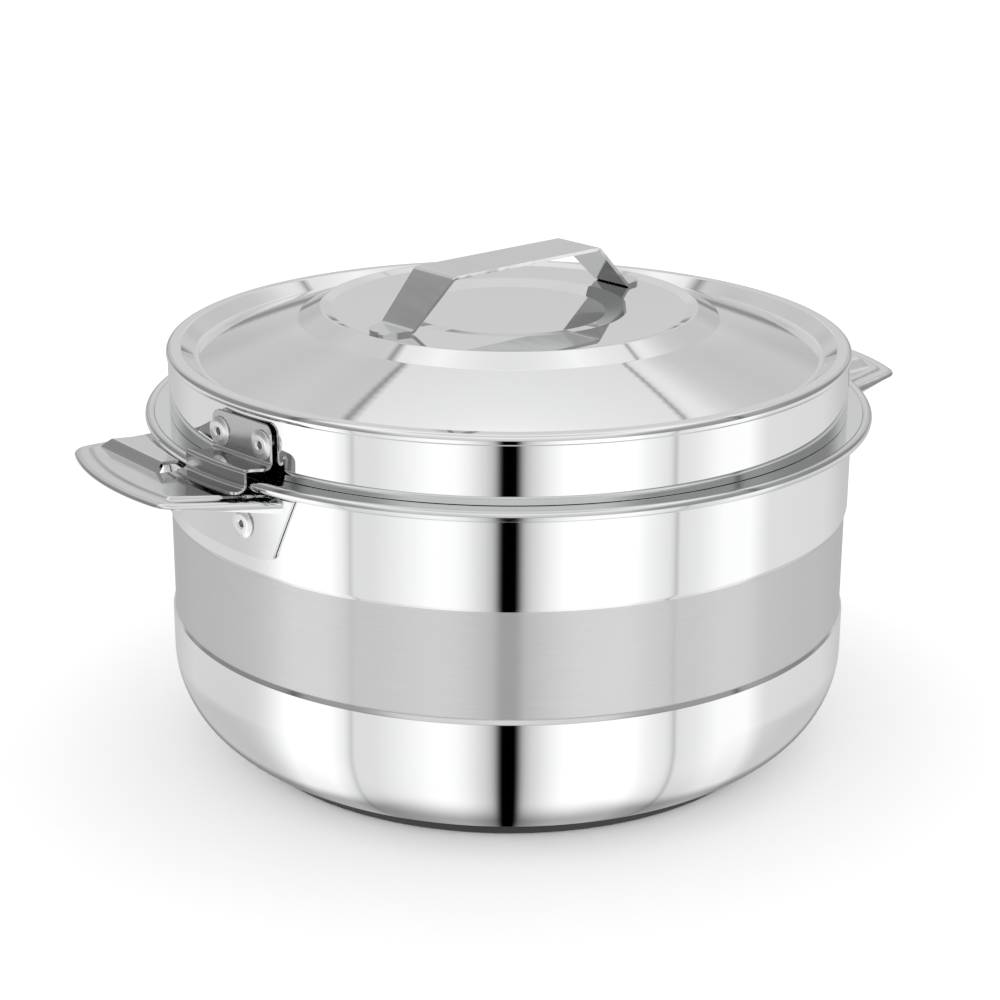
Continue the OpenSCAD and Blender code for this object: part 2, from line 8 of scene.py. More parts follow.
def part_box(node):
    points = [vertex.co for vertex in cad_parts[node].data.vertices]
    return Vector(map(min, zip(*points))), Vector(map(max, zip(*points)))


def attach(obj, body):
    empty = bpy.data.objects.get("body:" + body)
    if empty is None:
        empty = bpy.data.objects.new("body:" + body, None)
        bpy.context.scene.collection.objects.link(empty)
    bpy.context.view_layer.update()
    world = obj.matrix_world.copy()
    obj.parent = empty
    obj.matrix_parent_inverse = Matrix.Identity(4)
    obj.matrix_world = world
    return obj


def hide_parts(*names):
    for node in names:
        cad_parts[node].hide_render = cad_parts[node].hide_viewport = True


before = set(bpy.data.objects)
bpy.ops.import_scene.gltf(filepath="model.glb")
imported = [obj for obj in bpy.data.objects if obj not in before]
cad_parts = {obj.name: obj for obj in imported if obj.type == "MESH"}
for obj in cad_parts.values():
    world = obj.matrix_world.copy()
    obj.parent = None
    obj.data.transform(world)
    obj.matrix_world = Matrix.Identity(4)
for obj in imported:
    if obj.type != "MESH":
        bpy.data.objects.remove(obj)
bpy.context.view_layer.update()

# Lengths below are millimetres in the frame's axes and angles are degrees. In an outline a
# corner's third number is its rounding radius.
MM = 0.001
TINY = 1e-6
ROUND_STEPS = 288
SMOOTH_A, RIVET_SMOOTH_A, EASE_A = 38, 35, 50

# pot wall, with a satin band set back into the polished steel
WALL_R = 121.2
BAND_SET, BAND_STEP_H, SATIN_OVER = 0.9, 1.6, 0.5
BAND_LOW_Z, BAND_TOP_Z = 52.3, 88.6
SHELL_Z, SHELL_T = 3.0, 0.8
SHELL_CORNER_R = 35.0
SHELL_IN_R = 82.0
FLANGE_R, FLANGE_Z = 126.3, 121.9

# inner pan: its mouth, the flat rim, the ledge outside the seal and the roll round the edge
PAN_R, PAN_Z, PAN_T = 108.0, 16.0, 0.8
PAN_CORNER_R, MOUTH_R = 18.0, 2.5
RIM_DIP = 0.4
LEDGE_R, LEDGE_Z = 117.3, 123.6
LEDGE_RUN, LEDGE_BEND_R = 1.0, 0.5
ROLL_R, ROLL_HOLLOW_R = 1.9, 1.1
ROLL_RISE, ROLL_END_A = 0.7, -140.0

# underside
RING_IN_R, RING_TOP_R, RING_SIDE_H = 76.0, 95.4, 2.3
DISC_HOLE_R, DISC_R = 7.1, 90.0
BEAD_STARTS, BEAD_W, BEAD_SLOPE_W, BEAD_DEPTH = (28.0, 58.0), 9.0, 2.0, 0.6
PLUG_R, PLUG_FLANGE_R = 6.8, 10.0
PLUG_LOW_Z, PLUG_TOP_Z = 2.6, 9.8
DIMPLE_R, DIMPLE_H = 3.2, 0.7

# lid
SKIRT_R, LID_T = 119.6, 0.8
SKIRT_GAP = 0.12
HEM_R = 115.8
LID_BEAD, LID_BEAD_R, LID_BEAD_IN_R = (118.1, 144.2), 2.0, 115.1
GUTTER, CONE_TOP, CONE_BULGE = (109.7, 141.7), (74.0, 154.1), 0.5
CREST_R = 66.0
CROWN_R, CROWN_Z = 62.5, 157.0
DISH_R, DISH_FLAT_R, DISH_Z = 42.0, 34.0, 155.6
SPIGOT_R, SPIGOT_CORNER_R = 106.3, 4.0
SPIGOT_Z, LINER_R = 119.2, 118.5
SEAL_IN_R, SEAL_OUT_R = 111.25, 115.2

# body handles: the wing's edge, lip and panel, the louver in it and the plate on the wall
PLATE_R, HANDLE_T = 121.5, 1.2
PLATE_H = 22.3
PLATE_TOP_HALF, PLATE_LOW_HALF = 49.9, 38.46
PLATE_CORNER_W, PLATE_CORNER_H = 3.125, 2.5
WING_TILT = 3.7
WING_REACH = 156.8
WING_CORNER_X, WING_TIP_W = 146.5, 37.2
WING_SIDE_SLOPE = 0.2715
WING_EDGE_R, WING_CORNER_R = 103.0, 9.0
EDGE_ROOT_H, EDGE_FADE_H, EDGE_LEAST_H = 3.4, 2.2, 1.6
LIP_ROUND_R = 2.5
STEP_INSET, STEP_W = 4.4, 2.0
PANEL_H = 1.0
LOUVER_MOUTH_Y, LOUVER_CLOSED_Y, LOUVER_END_Y = 6.0, -25.0, -30.0
LOUVER_FOOT_X, LOUVER_SKEW = 139.4, 7.0
LOUVER_SLOPE, LOUVER_H = 2.4, 3.7
ROOF_R = 131.4
SLIT_R, SLIT_END_Y = 129.0, -28.7
RELIEF, RELIEF_R = (126.2, -30.6), 1.84
RELIEF_START_A, RELIEF_END_A = 104.6, 378.0

# latches: a plate on the skirt, a tongue over the rim, a drop outside it and a lip; FOLLOW
# is how much of the rim's round the tongue has taken on, and FLARE is where it gets wider
UNLOCKED_A = 12.5
LATCH_W, LATCH_T = 29.0, 0.95
LATCH_X, LATCH_CORNER_R = 120.9, 3.5
TONGUE_Z, TONGUE_BEND_R = 128.0, 1.5
BEND_FOLLOW, FLAT_FOLLOW = math.pi / 20, 0.16
FLARE_R, FLARE_RUN = 122.6, 6.6
DROP_R, DROP_BEND_R = 129.8, 1.2
LIP_RISE, LIP_BEND_R = 0.9, 1.3
LIP_R, LIP_CORNER_R = 132.0, 2.5
LEAD_A, TRAIL_A = 8.6, 5.2

# strap, from its middle out: top, leg, flat and round foot; HALF is half a width
STRAP_TURN = -2.5
STRAP_T, STRAP_BEND_R = 1.2, 2.0
STRAP_TOP_X, STRAP_LOW_X = 34.4, 51.3
STRAP_TAPER_X = 33.2
STRAP_FOOT_X, STRAP_FOOT_R = 54.0, 7.3
STRAP_TOP_HALF, STRAP_LOW_HALF = 10.5, 8.3

# rivets, drawn through the sheets they grip, and the pins that stay in them
BORE_R, BORE_CHAMFER, SHANK_R = 1.2, 0.55, 2.0
HEAD_R, HEAD_H = 3.1, 3.0
DOME_R, DOME_EDGE_H, DOME_H = 4.9, 0.55, 1.3
PIN_R, PIN_HEAD_R, PIN_HEAD_H = 1.1, 1.8, 1.4
PIN_TAIL, PIN_STUB = 4.4, 0.7
HANDLE_GRIP, LATCH_GRIP = 3.6, 4.05
HANDLE_SEAT_R, LATCH_SEAT_R = 122.8, 120.95
HANDLE_FAN_A, HANDLE_RIVET_DROP = 13.5, 11.8
LATCH_RIVET_GAP, LATCH_RIVET_H = 21.0, 8.0

# the two sides of the pot: (name, turn from the right)
HANDS = (("right", 0), ("left", 180))


def edge(node, axis, side):
    """A face of a CAD node's box: side 0 is the low one and 1 the high one."""
    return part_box(node)[side][axis] / MM


RIM_R = edge("inner_pan", 0, 1)
RIM_TOP_Z = edge("inner_pan", 2, 1)
FOOT_R = edge("base_ring", 0, 1)
HEM_Z, CREST_Z = edge("lid_outer_shell", 2, 0), edge("lid_outer_shell", 2, 1)
SKIRT_LOW_Z = LEDGE_Z + SKIRT_GAP
SEAL_LOW_Z, SEAL_TOP_Z = edge("lid_gasket", 2, 0), edge("lid_gasket", 2, 1)
STRAP_FOOT_Z, STRAP_TOP_Z = edge("lid_handle", 2, 0), edge("lid_handle", 2, 1)
PLATE_Z = edge("right_handle", 2, 0)
WING_Z = PLATE_Z + PLATE_H
LATCH_LOW_Z, LATCH_TOP_Z = edge("right_latch", 2, 0), edge("right_latch", 2, 1)


# ---- outlines and meshes


def arc(centre, radius, start, end, step=5.0):
    """Points of a circle in the (radius, height) plane, each with the normal of a walk that
    keeps the material on its left."""
    count = max(2, math.ceil(abs(end - start) / step))
    side = 1 if end > start else -1
    knots = []
    for i in range(count + 1):
        a = math.radians(start + (end - start) * i / count)
        out = Vector((math.cos(a), math.sin(a)))
        knots.append((Vector(centre) + radius * out, side * out))
    return knots


def arc_points(*sizes):
    """The points of an arc without their normals."""
    return [point for point, _ in arc(*sizes)]


def fillet(before, here, after, radius):
    """The arc that rounds the corner at here."""
    come = (here - before).normalized()
    go = (after - here).normalized()
    turn = math.atan2(come.x * go.y - come.y * go.x, come.dot(go))
    start = here - come * radius * math.tan(abs(turn) / 2)
    side = 1 if turn > 0 else -1
    centre = start + side * radius * Vector((-come.y, come.x))
    spoke = start - centre
    first = math.degrees(math.atan2(spoke.y, spoke.x))
    return arc(centre, radius, first, first + math.degrees(turn))


def walk(entries, closed):
    """The spans (from, to, normal at from, normal at to) of an outline of corners (r, z),
    rounded corners (r, z, radius) and arcs."""
    heads = [e[0][0] if isinstance(e, list) else Vector(e[:2]) for e in entries]
    tails = [e[-1][0] if isinstance(e, list) else Vector(e[:2]) for e in entries]
    runs = []
    for i, entry in enumerate(entries):
        if isinstance(entry, list):
            runs.append(entry)
        elif len(entry) == 3:
            runs.append(fillet(tails[i - 1], heads[i], heads[(i + 1) % len(entries)], entry[2]))
        else:
            runs.append([(heads[i], None)])
    spans = []
    for i, run in enumerate(runs):
        spans += [(a[0], b[0], a[1], b[1]) for a, b in zip(run, run[1:])]
        if closed or i + 1 < len(runs):
            a, b = run[-1][0], runs[(i + 1) % len(runs)][0][0]
            if (b - a).length > TINY:
                way = (b - a).normalized()
                out = Vector((way.y, -way.x))
                spans.append((a, b, out, out))
    return spans


def inner_side(corners, sheet):
    """The other face of a sheet whose outer face runs along these corners, walked back."""
    points = [Vector(c[:2]) for c in corners]
    moved = []
    for i, here in enumerate(points):
        ways = []
        if i:
            ways.append((here - points[i - 1]).normalized())
        if i + 1 < len(points):
            ways.append((points[i + 1] - here).normalized())
        lefts = [Vector((-w.y, w.x)) for w in ways]
        mitre = sum(lefts, Vector((0, 0))).normalized()
        shifted = here + mitre * sheet / mitre.dot(lefts[0])
        moved.append((*shifted, *corners[i][2:]))
    return moved[::-1]


def new_piece(name, mesh):
    piece = bpy.data.objects.new(name, mesh)
    bpy.context.scene.collection.objects.link(piece)
    return piece


def turned(name, entries, closed=False, steps=ROUND_STEPS, paint=None):
    """A piece turned round the pot's axis from an outline, with exact normals. paint gives
    the material index of a span."""
    spans = walk(entries, closed)
    points = [s[0] for s in spans] + ([] if closed else [spans[-1][1]])
    circle = [(math.cos(2 * math.pi * i / steps), math.sin(2 * math.pi * i / steps))
              for i in range(steps)]
    places, rings = [], []
    for p in points:
        if p.x < TINY:
            rings.append([len(places)] * steps)
            places.append((0, 0, p.y * MM))
        else:
            rings.append(range(len(places), len(places) + steps))
            places += [(p.x * c * MM, p.x * s * MM, p.y * MM) for c, s in circle]
    faces, normals, paints = [], [], []
    for j, (a, b, normal_a, normal_b) in enumerate(spans):
        low, high = rings[j], rings[(j + 1) % len(rings)]
        for i in range(steps):
            k = (i + 1) % steps
            corners = [(low[i], normal_a, i), (low[k], normal_a, k),
                       (high[k], normal_b, k), (high[i], normal_b, i)]
            if a.x < TINY:
                corners.pop(1)
            elif b.x < TINY:
                corners.pop(2)
            faces.append([c[0] for c in corners])
            normals += [(n.x * circle[m][0], n.x * circle[m][1], n.y) for _, n, m in corners]
            paints.append(paint(a, b, normal_a) if paint else 0)
    mesh = bpy.data.meshes.new(name)
    mesh.from_pydata(places, [], faces)
    mesh.polygons.foreach_set("material_index", paints)
    mesh.shade_smooth()
    mesh.normals_split_custom_set(normals)
    return new_piece(name, mesh)


def strip(rows):
    """The (points, faces) of a sheet from its rows of points; it faces up where the rows go
    inward."""
    width = len(rows[0])
    faces = [(k, k + width, k + width + 1, k + 1)
             for j in range(len(rows) - 1) for k in range(j * width, (j + 1) * width - 1)]
    return [p for row in rows for p in row], faces


def sheet_piece(name, parts, place, thickness, bevel=0.18):
    """A sheet piece from the outer faces of its parts [(points, faces)]: thickened inward,
    its edges eased, and put in its place."""
    points, faces = [], []
    for part_points, part_faces in parts:
        faces += [[k + len(points) for k in face] for face in part_faces]
        points += part_points
    mesh = bpy.data.meshes.new(name)
    mesh.from_pydata([Vector(p) * MM for p in points], [], faces)
    shape = bmesh.new()
    shape.from_mesh(mesh)
    bmesh.ops.remove_doubles(shape, verts=shape.verts, dist=2e-6)
    bmesh.ops.dissolve_degenerate(shape, edges=shape.edges, dist=1e-7)
    shape.to_mesh(mesh)
    shape.free()
    piece = new_piece(name, mesh)
    wall = piece.modifiers.new("wall", "SOLIDIFY")
    wall.thickness = thickness * MM
    wall.offset = -1
    wall.use_even_offset = True
    ease = piece.modifiers.new("ease", "BEVEL")
    ease.width = bevel * MM
    ease.segments = 2
    ease.limit_method = "ANGLE"
    ease.angle_limit = math.radians(EASE_A)
    settle(piece)
    piece.data.transform(place)
    smooth_by_angle(piece.data, SMOOTH_A)
    even = piece.modifiers.new("even", "WEIGHTED_NORMAL")
    even.keep_sharp = True
    settle(piece)
    return piece


def settle(piece):
    """Makes what the piece's modifiers give its own plain mesh."""
    graph = bpy.context.evaluated_depsgraph_get()
    mesh = bpy.data.meshes.new_from_object(piece.evaluated_get(graph))
    piece.modifiers.clear()
    piece.data = mesh


def smooth_by_angle(mesh, angle):
    mesh.shade_smooth()
    mesh.set_sharp_from_angle(angle=math.radians(angle))


def joined(name, first, *others):
    """One piece from several, which are used up."""
    for other in others:
        shape = bmesh.new()
        shape.from_mesh(first.data)
        shape.from_mesh(other.data)
        shape.to_mesh(first.data)
        shape.free()
        bpy.data.objects.remove(other)
    first.name = name
    return first


def round_z(angle):
    return Matrix.Rotation(math.radians(angle), 4, "Z")


def spread(start, end, count):
    """count + 1 numbers from start to end."""
    return [start + (end - start) * i / count for i in range(count + 1)]


# ---- pot


def make_wall():
    """Polished wall with its satin band, rounded foot and the flange under the rim."""
    corner_x = WALL_R - SHELL_CORNER_R
    corner_z = SHELL_Z + math.sqrt(SHELL_CORNER_R ** 2 - (FOOT_R - corner_x) ** 2)
    start = math.degrees(math.asin((SHELL_Z - corner_z) / SHELL_CORNER_R))
    base_in = math.degrees(math.asin(
        (SHELL_Z + SHELL_T - corner_z) / (SHELL_CORNER_R - SHELL_T)))
    band_r = WALL_R - BAND_SET
    upright = [
        (WALL_R, corner_z),
        (WALL_R, BAND_LOW_Z - BAND_STEP_H, 2.0),
        (band_r, BAND_LOW_Z, 1.2),
        (band_r, BAND_TOP_Z, 1.2),
        (WALL_R, BAND_TOP_Z + BAND_STEP_H, 2.0),
        (WALL_R, FLANGE_Z),
    ]
    outline = [
        (SHELL_IN_R, SHELL_Z),
        arc((corner_x, corner_z), SHELL_CORNER_R, start, 0, 3),
        *upright[1:],
        (FLANGE_R, FLANGE_Z),
        (FLANGE_R, FLANGE_Z + SHELL_T),
        (WALL_R - SHELL_T, FLANGE_Z + SHELL_T),
        *inner_side(upright, SHELL_T)[1:-1],
        arc((corner_x, corner_z), SHELL_CORNER_R - SHELL_T, 0, base_in, 6),
        (SHELL_IN_R, SHELL_Z + SHELL_T),
    ]

    def paint(a, b, normal):
        """The satin finish's index on the band's outside, which runs a little up its steps."""
        mid_z = (a.y + b.y) / 2
        return int(normal.x > 0 and BAND_LOW_Z - SATIN_OVER < mid_z < BAND_TOP_Z + SATIN_OVER)

    return turned("wall", outline, closed=True, paint=paint)


def make_pan():
    """Spun pan; its rim steps down to a ledge for the lid's skirt and rolls over the flange."""
    flat_r = PAN_R - PAN_CORNER_R
    corner_z = PAN_Z + PAN_CORNER_R
    roll = (RIM_R - ROLL_R, LEDGE_Z + ROLL_RISE - ROLL_R)
    rim_z = RIM_TOP_Z - RIM_DIP
    mouth = (PAN_R + MOUTH_R, rim_z - PAN_T - MOUTH_R)
    top_a = 180 - math.degrees(math.asin((LEDGE_Z - roll[1]) / ROLL_R))
    under_a = 180 - math.degrees(math.asin((LEDGE_Z - PAN_T - roll[1]) / ROLL_HOLLOW_R))
    ledge = [(roll[0], LEDGE_Z), (LEDGE_R, LEDGE_Z, LEDGE_BEND_R),
             (LEDGE_R - LEDGE_RUN, rim_z, LEDGE_BEND_R), (mouth[0], rim_z)]
    return turned("pan", [
        (0, PAN_Z),
        arc((flat_r, corner_z), PAN_CORNER_R, -90, 0),
        arc(mouth, MOUTH_R, 180, 90),
        *inner_side(ledge, PAN_T)[1:-1],
        arc(roll, ROLL_HOLLOW_R, under_a, ROLL_END_A, 15),
        arc(roll, ROLL_R, ROLL_END_A, top_a, 7),
        *ledge[1:-1],
        arc(mouth, MOUTH_R + PAN_T, 90, 180),
        arc((flat_r, corner_z), PAN_CORNER_R - PAN_T, 0, -90),
        (0, PAN_Z + PAN_T),
    ])


def make_base():
    """Foot ring, base plate with its stamped beads, and the plug of the filling hole."""
    ring = turned("foot_ring", [
        (RING_IN_R, 0, 0.5), (FOOT_R, 0, 0.5), (FOOT_R, RING_SIDE_H, 0.3),
        (RING_TOP_R, SHELL_Z), (RING_IN_R, SHELL_Z, 0.3),
    ], closed=True)
    disc_z = SHELL_Z + SHELL_T
    bead_z = disc_z - BEAD_DEPTH
    disc = [(DISC_HOLE_R, disc_z)]
    for r in BEAD_STARTS:
        disc += [(r, disc_z, 2), (r + BEAD_SLOPE_W, bead_z, 1.2),
                 (r + BEAD_W - BEAD_SLOPE_W, bead_z, 1.2), (r + BEAD_W, disc_z, 2)]
    disc.append((DISC_R, disc_z))
    plate = turned("base_disc", [*disc, *inner_side(disc, SHELL_T)], closed=True)
    dimple_z = PLUG_LOW_Z + DIMPLE_H
    plug = turned("plug", [
        (0, dimple_z), (DIMPLE_R, dimple_z, 0.3), (DIMPLE_R + 0.6, PLUG_LOW_Z, 0.3),
        (PLUG_FLANGE_R, PLUG_LOW_Z, 0.6), (PLUG_FLANGE_R, disc_z), (PLUG_R, disc_z),
        (PLUG_R, PLUG_TOP_Z, 0.8), (0, PLUG_TOP_Z),
    ], steps=ROUND_STEPS // 3)
    return ring, plate, plug


# ---- lid


def make_lid_top():
    """Skirt with its folded foot, hem and bead, then gutter, cone, crest, crown and dish."""
    side_r, hollow_r = SKIRT_R - LID_BEAD[0], LID_BEAD_R - LID_T
    bead_start = -math.degrees(math.acos(side_r / LID_BEAD_R))
    bead_end = -math.degrees(math.acos((side_r - LID_T) / hollow_r))
    bead_z = LID_BEAD[1] + LID_BEAD_R
    gutter = Vector(GUTTER)
    chord = Vector(CONE_TOP) - gutter
    bulge = Vector((chord.y, -chord.x)).normalized()
    cone = [gutter + t * chord + 4 * CONE_BULGE * t * (1 - t) * bulge
            for t in spread(0, 1, 12)]
    top = [
        (LID_BEAD[0], bead_z),
        (LID_BEAD_IN_R, bead_z, 1.2),
        (*cone[0], 2.2),
        *[(*p, 20) for p in cone[1:-1]],
        (*cone[-1], 2.0),
        (CREST_R, CREST_Z, 1.4),
        (CROWN_R, CROWN_Z, 1.0),
        (DISH_R, CROWN_Z, 3.0),
        (DISH_FLAT_R, DISH_Z, 3.0),
        (0, DISH_Z),
    ]
    return turned("lid_top", [
        (0, DISH_Z - LID_T),
        *inner_side(top, LID_T)[1:-1],
        arc(LID_BEAD, hollow_r, 90, bead_end, 12),
        (SKIRT_R - LID_T, HEM_Z + LID_T),
        (HEM_R, HEM_Z + LID_T),
        (HEM_R, HEM_Z),
        (SKIRT_R - 2 * LID_T, HEM_Z, 0.3),
        (SKIRT_R - 2 * LID_T, SKIRT_LOW_Z, 0.25),
        (SKIRT_R, SKIRT_LOW_Z, 0.25),
        arc(LID_BEAD, LID_BEAD_R, bead_start, 90, 6),
        *top[1:],
    ])


def make_lid_plug():
    """Inner shell that fills the pot's mouth and holds the lid's foam."""
    corner = (SPIGOT_R - SPIGOT_CORNER_R, SPIGOT_Z + SPIGOT_CORNER_R)
    flange_z = HEM_Z + LID_T
    return turned("lid_plug", [
        (0, SPIGOT_Z),
        arc(corner, SPIGOT_CORNER_R, -90, 0, 6),
        (SPIGOT_R, flange_z, 0.8),
        (LINER_R, flange_z),
        (LINER_R, flange_z + LID_T),
        (SPIGOT_R - LID_T, flange_z + LID_T, 1.6),
        arc(corner, SPIGOT_CORNER_R - LID_T, 0, -90, 12),
        (0, SPIGOT_Z + LID_T),
    ])


def make_seal():
    """Ring between the pan's rim and the lid."""
    return turned("seal", [
        (SEAL_IN_R, SEAL_LOW_Z, 0.4), (SEAL_OUT_R, SEAL_LOW_Z, 0.4),
        (SEAL_OUT_R, SEAL_TOP_Z, 0.4), (SEAL_IN_R, SEAL_TOP_Z, 0.4),
    ], closed=True)


# ---- body handles


def wing_row(inset):
    """The wing's outline moved in by inset, from one root over the tip to the other."""
    side = math.atan(WING_SIDE_SLOPE)
    out = Vector((math.sin(side), math.cos(side)))
    along = Vector((math.cos(side), -math.sin(side)))
    edge_centre = Vector((WING_REACH - WING_EDGE_R, 0))
    tip = Vector((WING_CORNER_X, WING_TIP_W))
    start = tip - WING_CORNER_R * out - edge_centre
    gap = WING_EDGE_R - WING_CORNER_R
    shift = math.sqrt(start.dot(along) ** 2 - start.dot(start) + gap ** 2) - start.dot(along)
    corner = edge_centre + start + shift * along
    edge_a = math.atan2(corner.y, corner.x - edge_centre.x)
    line = tip - inset * out
    back = line.dot(along)
    root = line + (math.sqrt(back ** 2 - line.dot(line) + PLATE_R ** 2) - back) * along
    side_end = corner + (WING_CORNER_R - inset) * out
    half = [root.lerp(side_end, t) for t in spread(0, 1, 24)[:-1]]
    for a in spread(math.pi / 2 - side, edge_a, 18)[:-1]:
        half.append(corner + (WING_CORNER_R - inset) * Vector((math.cos(a), math.sin(a))))
    for a in spread(edge_a, 0, 30):
        half.append(edge_centre + (WING_EDGE_R - inset) * Vector((math.cos(a), math.sin(a))))
    return half + [Vector((p.x, -p.y)) for p in half[-2::-1]]


def soft_step(t, ease=0.18):
    """A ramp from 0 to 1 with rounded ends."""
    t = min(max(t, 0), 1)
    slope = 1 / (1 - ease)
    if t < ease:
        return slope * t * t / (2 * ease)
    if t > 1 - ease:
        return 1 - slope * (1 - t) ** 2 / (2 * ease)
    return slope * (t - ease / 2)


def edge_drop(x):
    """Depth of the wing's turned-down edge, which runs out towards the tip."""
    faded = (x - WALL_R) * EDGE_FADE_H / (WING_CORNER_X - WALL_R)
    return max(EDGE_LEAST_H, EDGE_ROOT_H - faded)


def wing_border():
    """Rows of the turned-down edge, rounded over into the flat lip, and of the step up to
    the panel."""
    rows = [[(p.x, p.y, -edge_drop(p.x)) for p in wing_row(0)]]
    for a in spread(0, math.pi / 2, 7):
        inset = LIP_ROUND_R * (1 - math.cos(a))
        rows.append([(p.x, p.y, (math.sin(a) - 1) * min(LIP_ROUND_R, edge_drop(p.x)))
                     for p in wing_row(inset)])
    for t in spread(0, 1, 8):
        rows.append([(p.x, p.y, PANEL_H * soft_step(t, 0.4))
                     for p in wing_row(STEP_INSET + STEP_W * t)])
    return rows


def make_louver():
    """Rows of the raised louver, open at its mouth and along the rim's side."""
    ys = spread(LOUVER_END_Y, LOUVER_CLOSED_Y, 10)
    ys += spread(LOUVER_CLOSED_Y, LOUVER_MOUTH_Y, 12)[1:]
    skew = math.tan(math.radians(LOUVER_SKEW))
    rows = []
    for y in ys:
        foot = LOUVER_FOOT_X - skew * (y - LOUVER_MOUTH_Y)
        xs = [foot - LOUVER_SLOPE * t for t in spread(0, 1, 10)]
        xs += spread(xs[-1], math.sqrt(ROOF_R ** 2 - y * y), 6)[1:]
        end_rise = soft_step((y - LOUVER_END_Y) / (LOUVER_CLOSED_Y - LOUVER_END_Y))
        rises = [min(soft_step((foot - x) / LOUVER_SLOPE), end_rise) for x in xs]
        rows.append([(x, y, PANEL_H + LOUVER_H * rise) for x, rise in zip(xs, rises)])
    return rows


def inside(point, loop):
    """True if the point lies in the closed loop."""
    odd = False
    for a, b in zip(loop, loop[1:] + loop[:1]):
        if (a.y > point.y) != (b.y > point.y):
            if point.x < a.x + (point.y - a.y) * (b.x - a.x) / (b.y - a.y):
                odd = not odd
    return odd


def wing_panel(inner_row, louver):
    """Flat panel between the border, the wall and the louver's opening."""
    border = [Vector(p[:2]) for p in inner_row]
    root = math.atan2(border[-1].y, border[-1].x)
    border += [Vector((PLATE_R * math.cos(a), PLATE_R * math.sin(a)))
               for a in spread(root, -root, 40)[1:-1]]
    foot = [Vector(row[0][:2]) for row in louver]
    closed_end = [Vector(p[:2]) for p in louver[0]]
    mouth_in = Vector((math.sqrt(SLIT_R ** 2 - LOUVER_MOUTH_Y ** 2), LOUVER_MOUTH_Y))
    relief = arc_points(RELIEF, RELIEF_R, RELIEF_START_A, RELIEF_END_A, 12.5)
    slit_ends = [math.degrees(math.asin(y / SLIT_R)) for y in (LOUVER_MOUTH_Y, SLIT_END_Y)]
    slit = arc_points((0, 0), SLIT_R, *slit_ends, 1)
    hole = foot + [mouth_in] + slit[1:] + relief + closed_end[::-1][:-1]
    points = border + hole
    loops = [range(len(border)), range(len(border), len(points))]
    ties = [(loop[i], loop[(i + 1) % len(loop)]) for loop in loops for i in range(len(loop))]
    places, _, faces, *_ = geometry.delaunay_2d_cdt(points, ties, [], 0, 1e-5)
    kept = []
    for face in faces:
        middle = sum((places[k] for k in face), Vector((0, 0))) / len(face)
        if inside(middle, border) and not inside(middle, hole):
            kept.append(face)
    return [(p.x, p.y, PANEL_H) for p in places], kept


def make_mounting_plate():
    """Curved plate that carries the wing on the wall, narrower at its foot."""
    sides = [(PLATE_Z + PLATE_CORNER_H * (1 - math.sin(a)),
              PLATE_LOW_HALF + PLATE_CORNER_W * math.cos(a)) for a in spread(math.pi / 2, 0, 8)]
    low_z, low_half = sides[-1]
    sides += [(low_z + (WING_Z - low_z) * t, low_half + (PLATE_TOP_HALF - low_half) * t)
              for t in spread(0, 1, 8)[1:]]
    outer_r = PLATE_R + HANDLE_T
    return strip([[(math.sqrt(outer_r ** 2 - y * y), y, z) for y in spread(half, -half, 56)]
                  for z, half in sides])


def make_handle(name, turn):
    """A body handle: wing with louver, and its mounting plate, bent from one sheet."""
    border, louver = wing_border(), make_louver()
    panel = wing_panel(border[-1], louver)
    tilt = (Matrix.Translation(Vector((PLATE_R, 0, WING_Z)) * MM)
            @ Matrix.Rotation(math.radians(-WING_TILT), 4, "Y")
            @ Matrix.Translation(Vector((-PLATE_R, 0, 0)) * MM))
    wing = sheet_piece(name + "_wing", [strip(border), strip(louver), panel],
                       round_z(turn) @ tilt, HANDLE_T)
    plate = sheet_piece(name + "_plate", [make_mounting_plate()], round_z(turn), HANDLE_T)
    return joined(name, wing, plate)


# ---- latches and strap


def latch_path():
    """The latch's outer face from its top down: (distance from the axis, height, how far
    it follows the rim's round, 0 for flat)."""
    lip_z = LATCH_LOW_Z + LIP_RISE
    bend_x, bend_z = LATCH_X + TONGUE_BEND_R, TONGUE_Z + TONGUE_BEND_R
    knee_r, knee_z = DROP_R - DROP_BEND_R, TONGUE_Z - DROP_BEND_R
    heel_r, heel_z = DROP_R + LIP_BEND_R, lip_z + LIP_BEND_R
    path = [(LATCH_X, LATCH_TOP_Z - LATCH_CORNER_R * (1 - math.cos(a)), 0)
            for a in spread(0, math.pi / 2, 7)]
    path += [(LATCH_X, z, 0) for z in spread(path[-1][1], bend_z, 4)[1:-1]]
    for i, (r, z) in enumerate(arc_points((bend_x, bend_z), TONGUE_BEND_R, 180, 270, 18)):
        path.append((r, z, BEND_FOLLOW * i / 5))
    for r in spread(bend_x, knee_r, 10)[1:]:
        way = soft_step((r - bend_x) / (knee_r - bend_x))
        path.append((r, TONGUE_Z, FLAT_FOLLOW + (1 - FLAT_FOLLOW) * way))
    path += [(r, z, 1) for r, z in arc_points((knee_r, knee_z), DROP_BEND_R, 90, 0, 15)[1:]]
    path += [(DROP_R, z, 1) for z in spread(knee_z, heel_z, 3)[1:]]
    path += [(r, z, 1) for r, z in arc_points((heel_r, heel_z), LIP_BEND_R, 180, 270, 18)[1:]]
    path += [(r, lip_z, 1) for r in spread(heel_r, LIP_R, 2)[1:]]
    path += [(LIP_R + LIP_CORNER_R * math.sin(a), lip_z, 1)
             for a in spread(0, math.pi / 2, 7)[1:]]
    return path


def corner_cut(past, radius):
    """How much narrower a side is that far into its rounded corner."""
    past = max(0, past)
    return radius - math.sqrt(max(0, radius ** 2 - past ** 2))


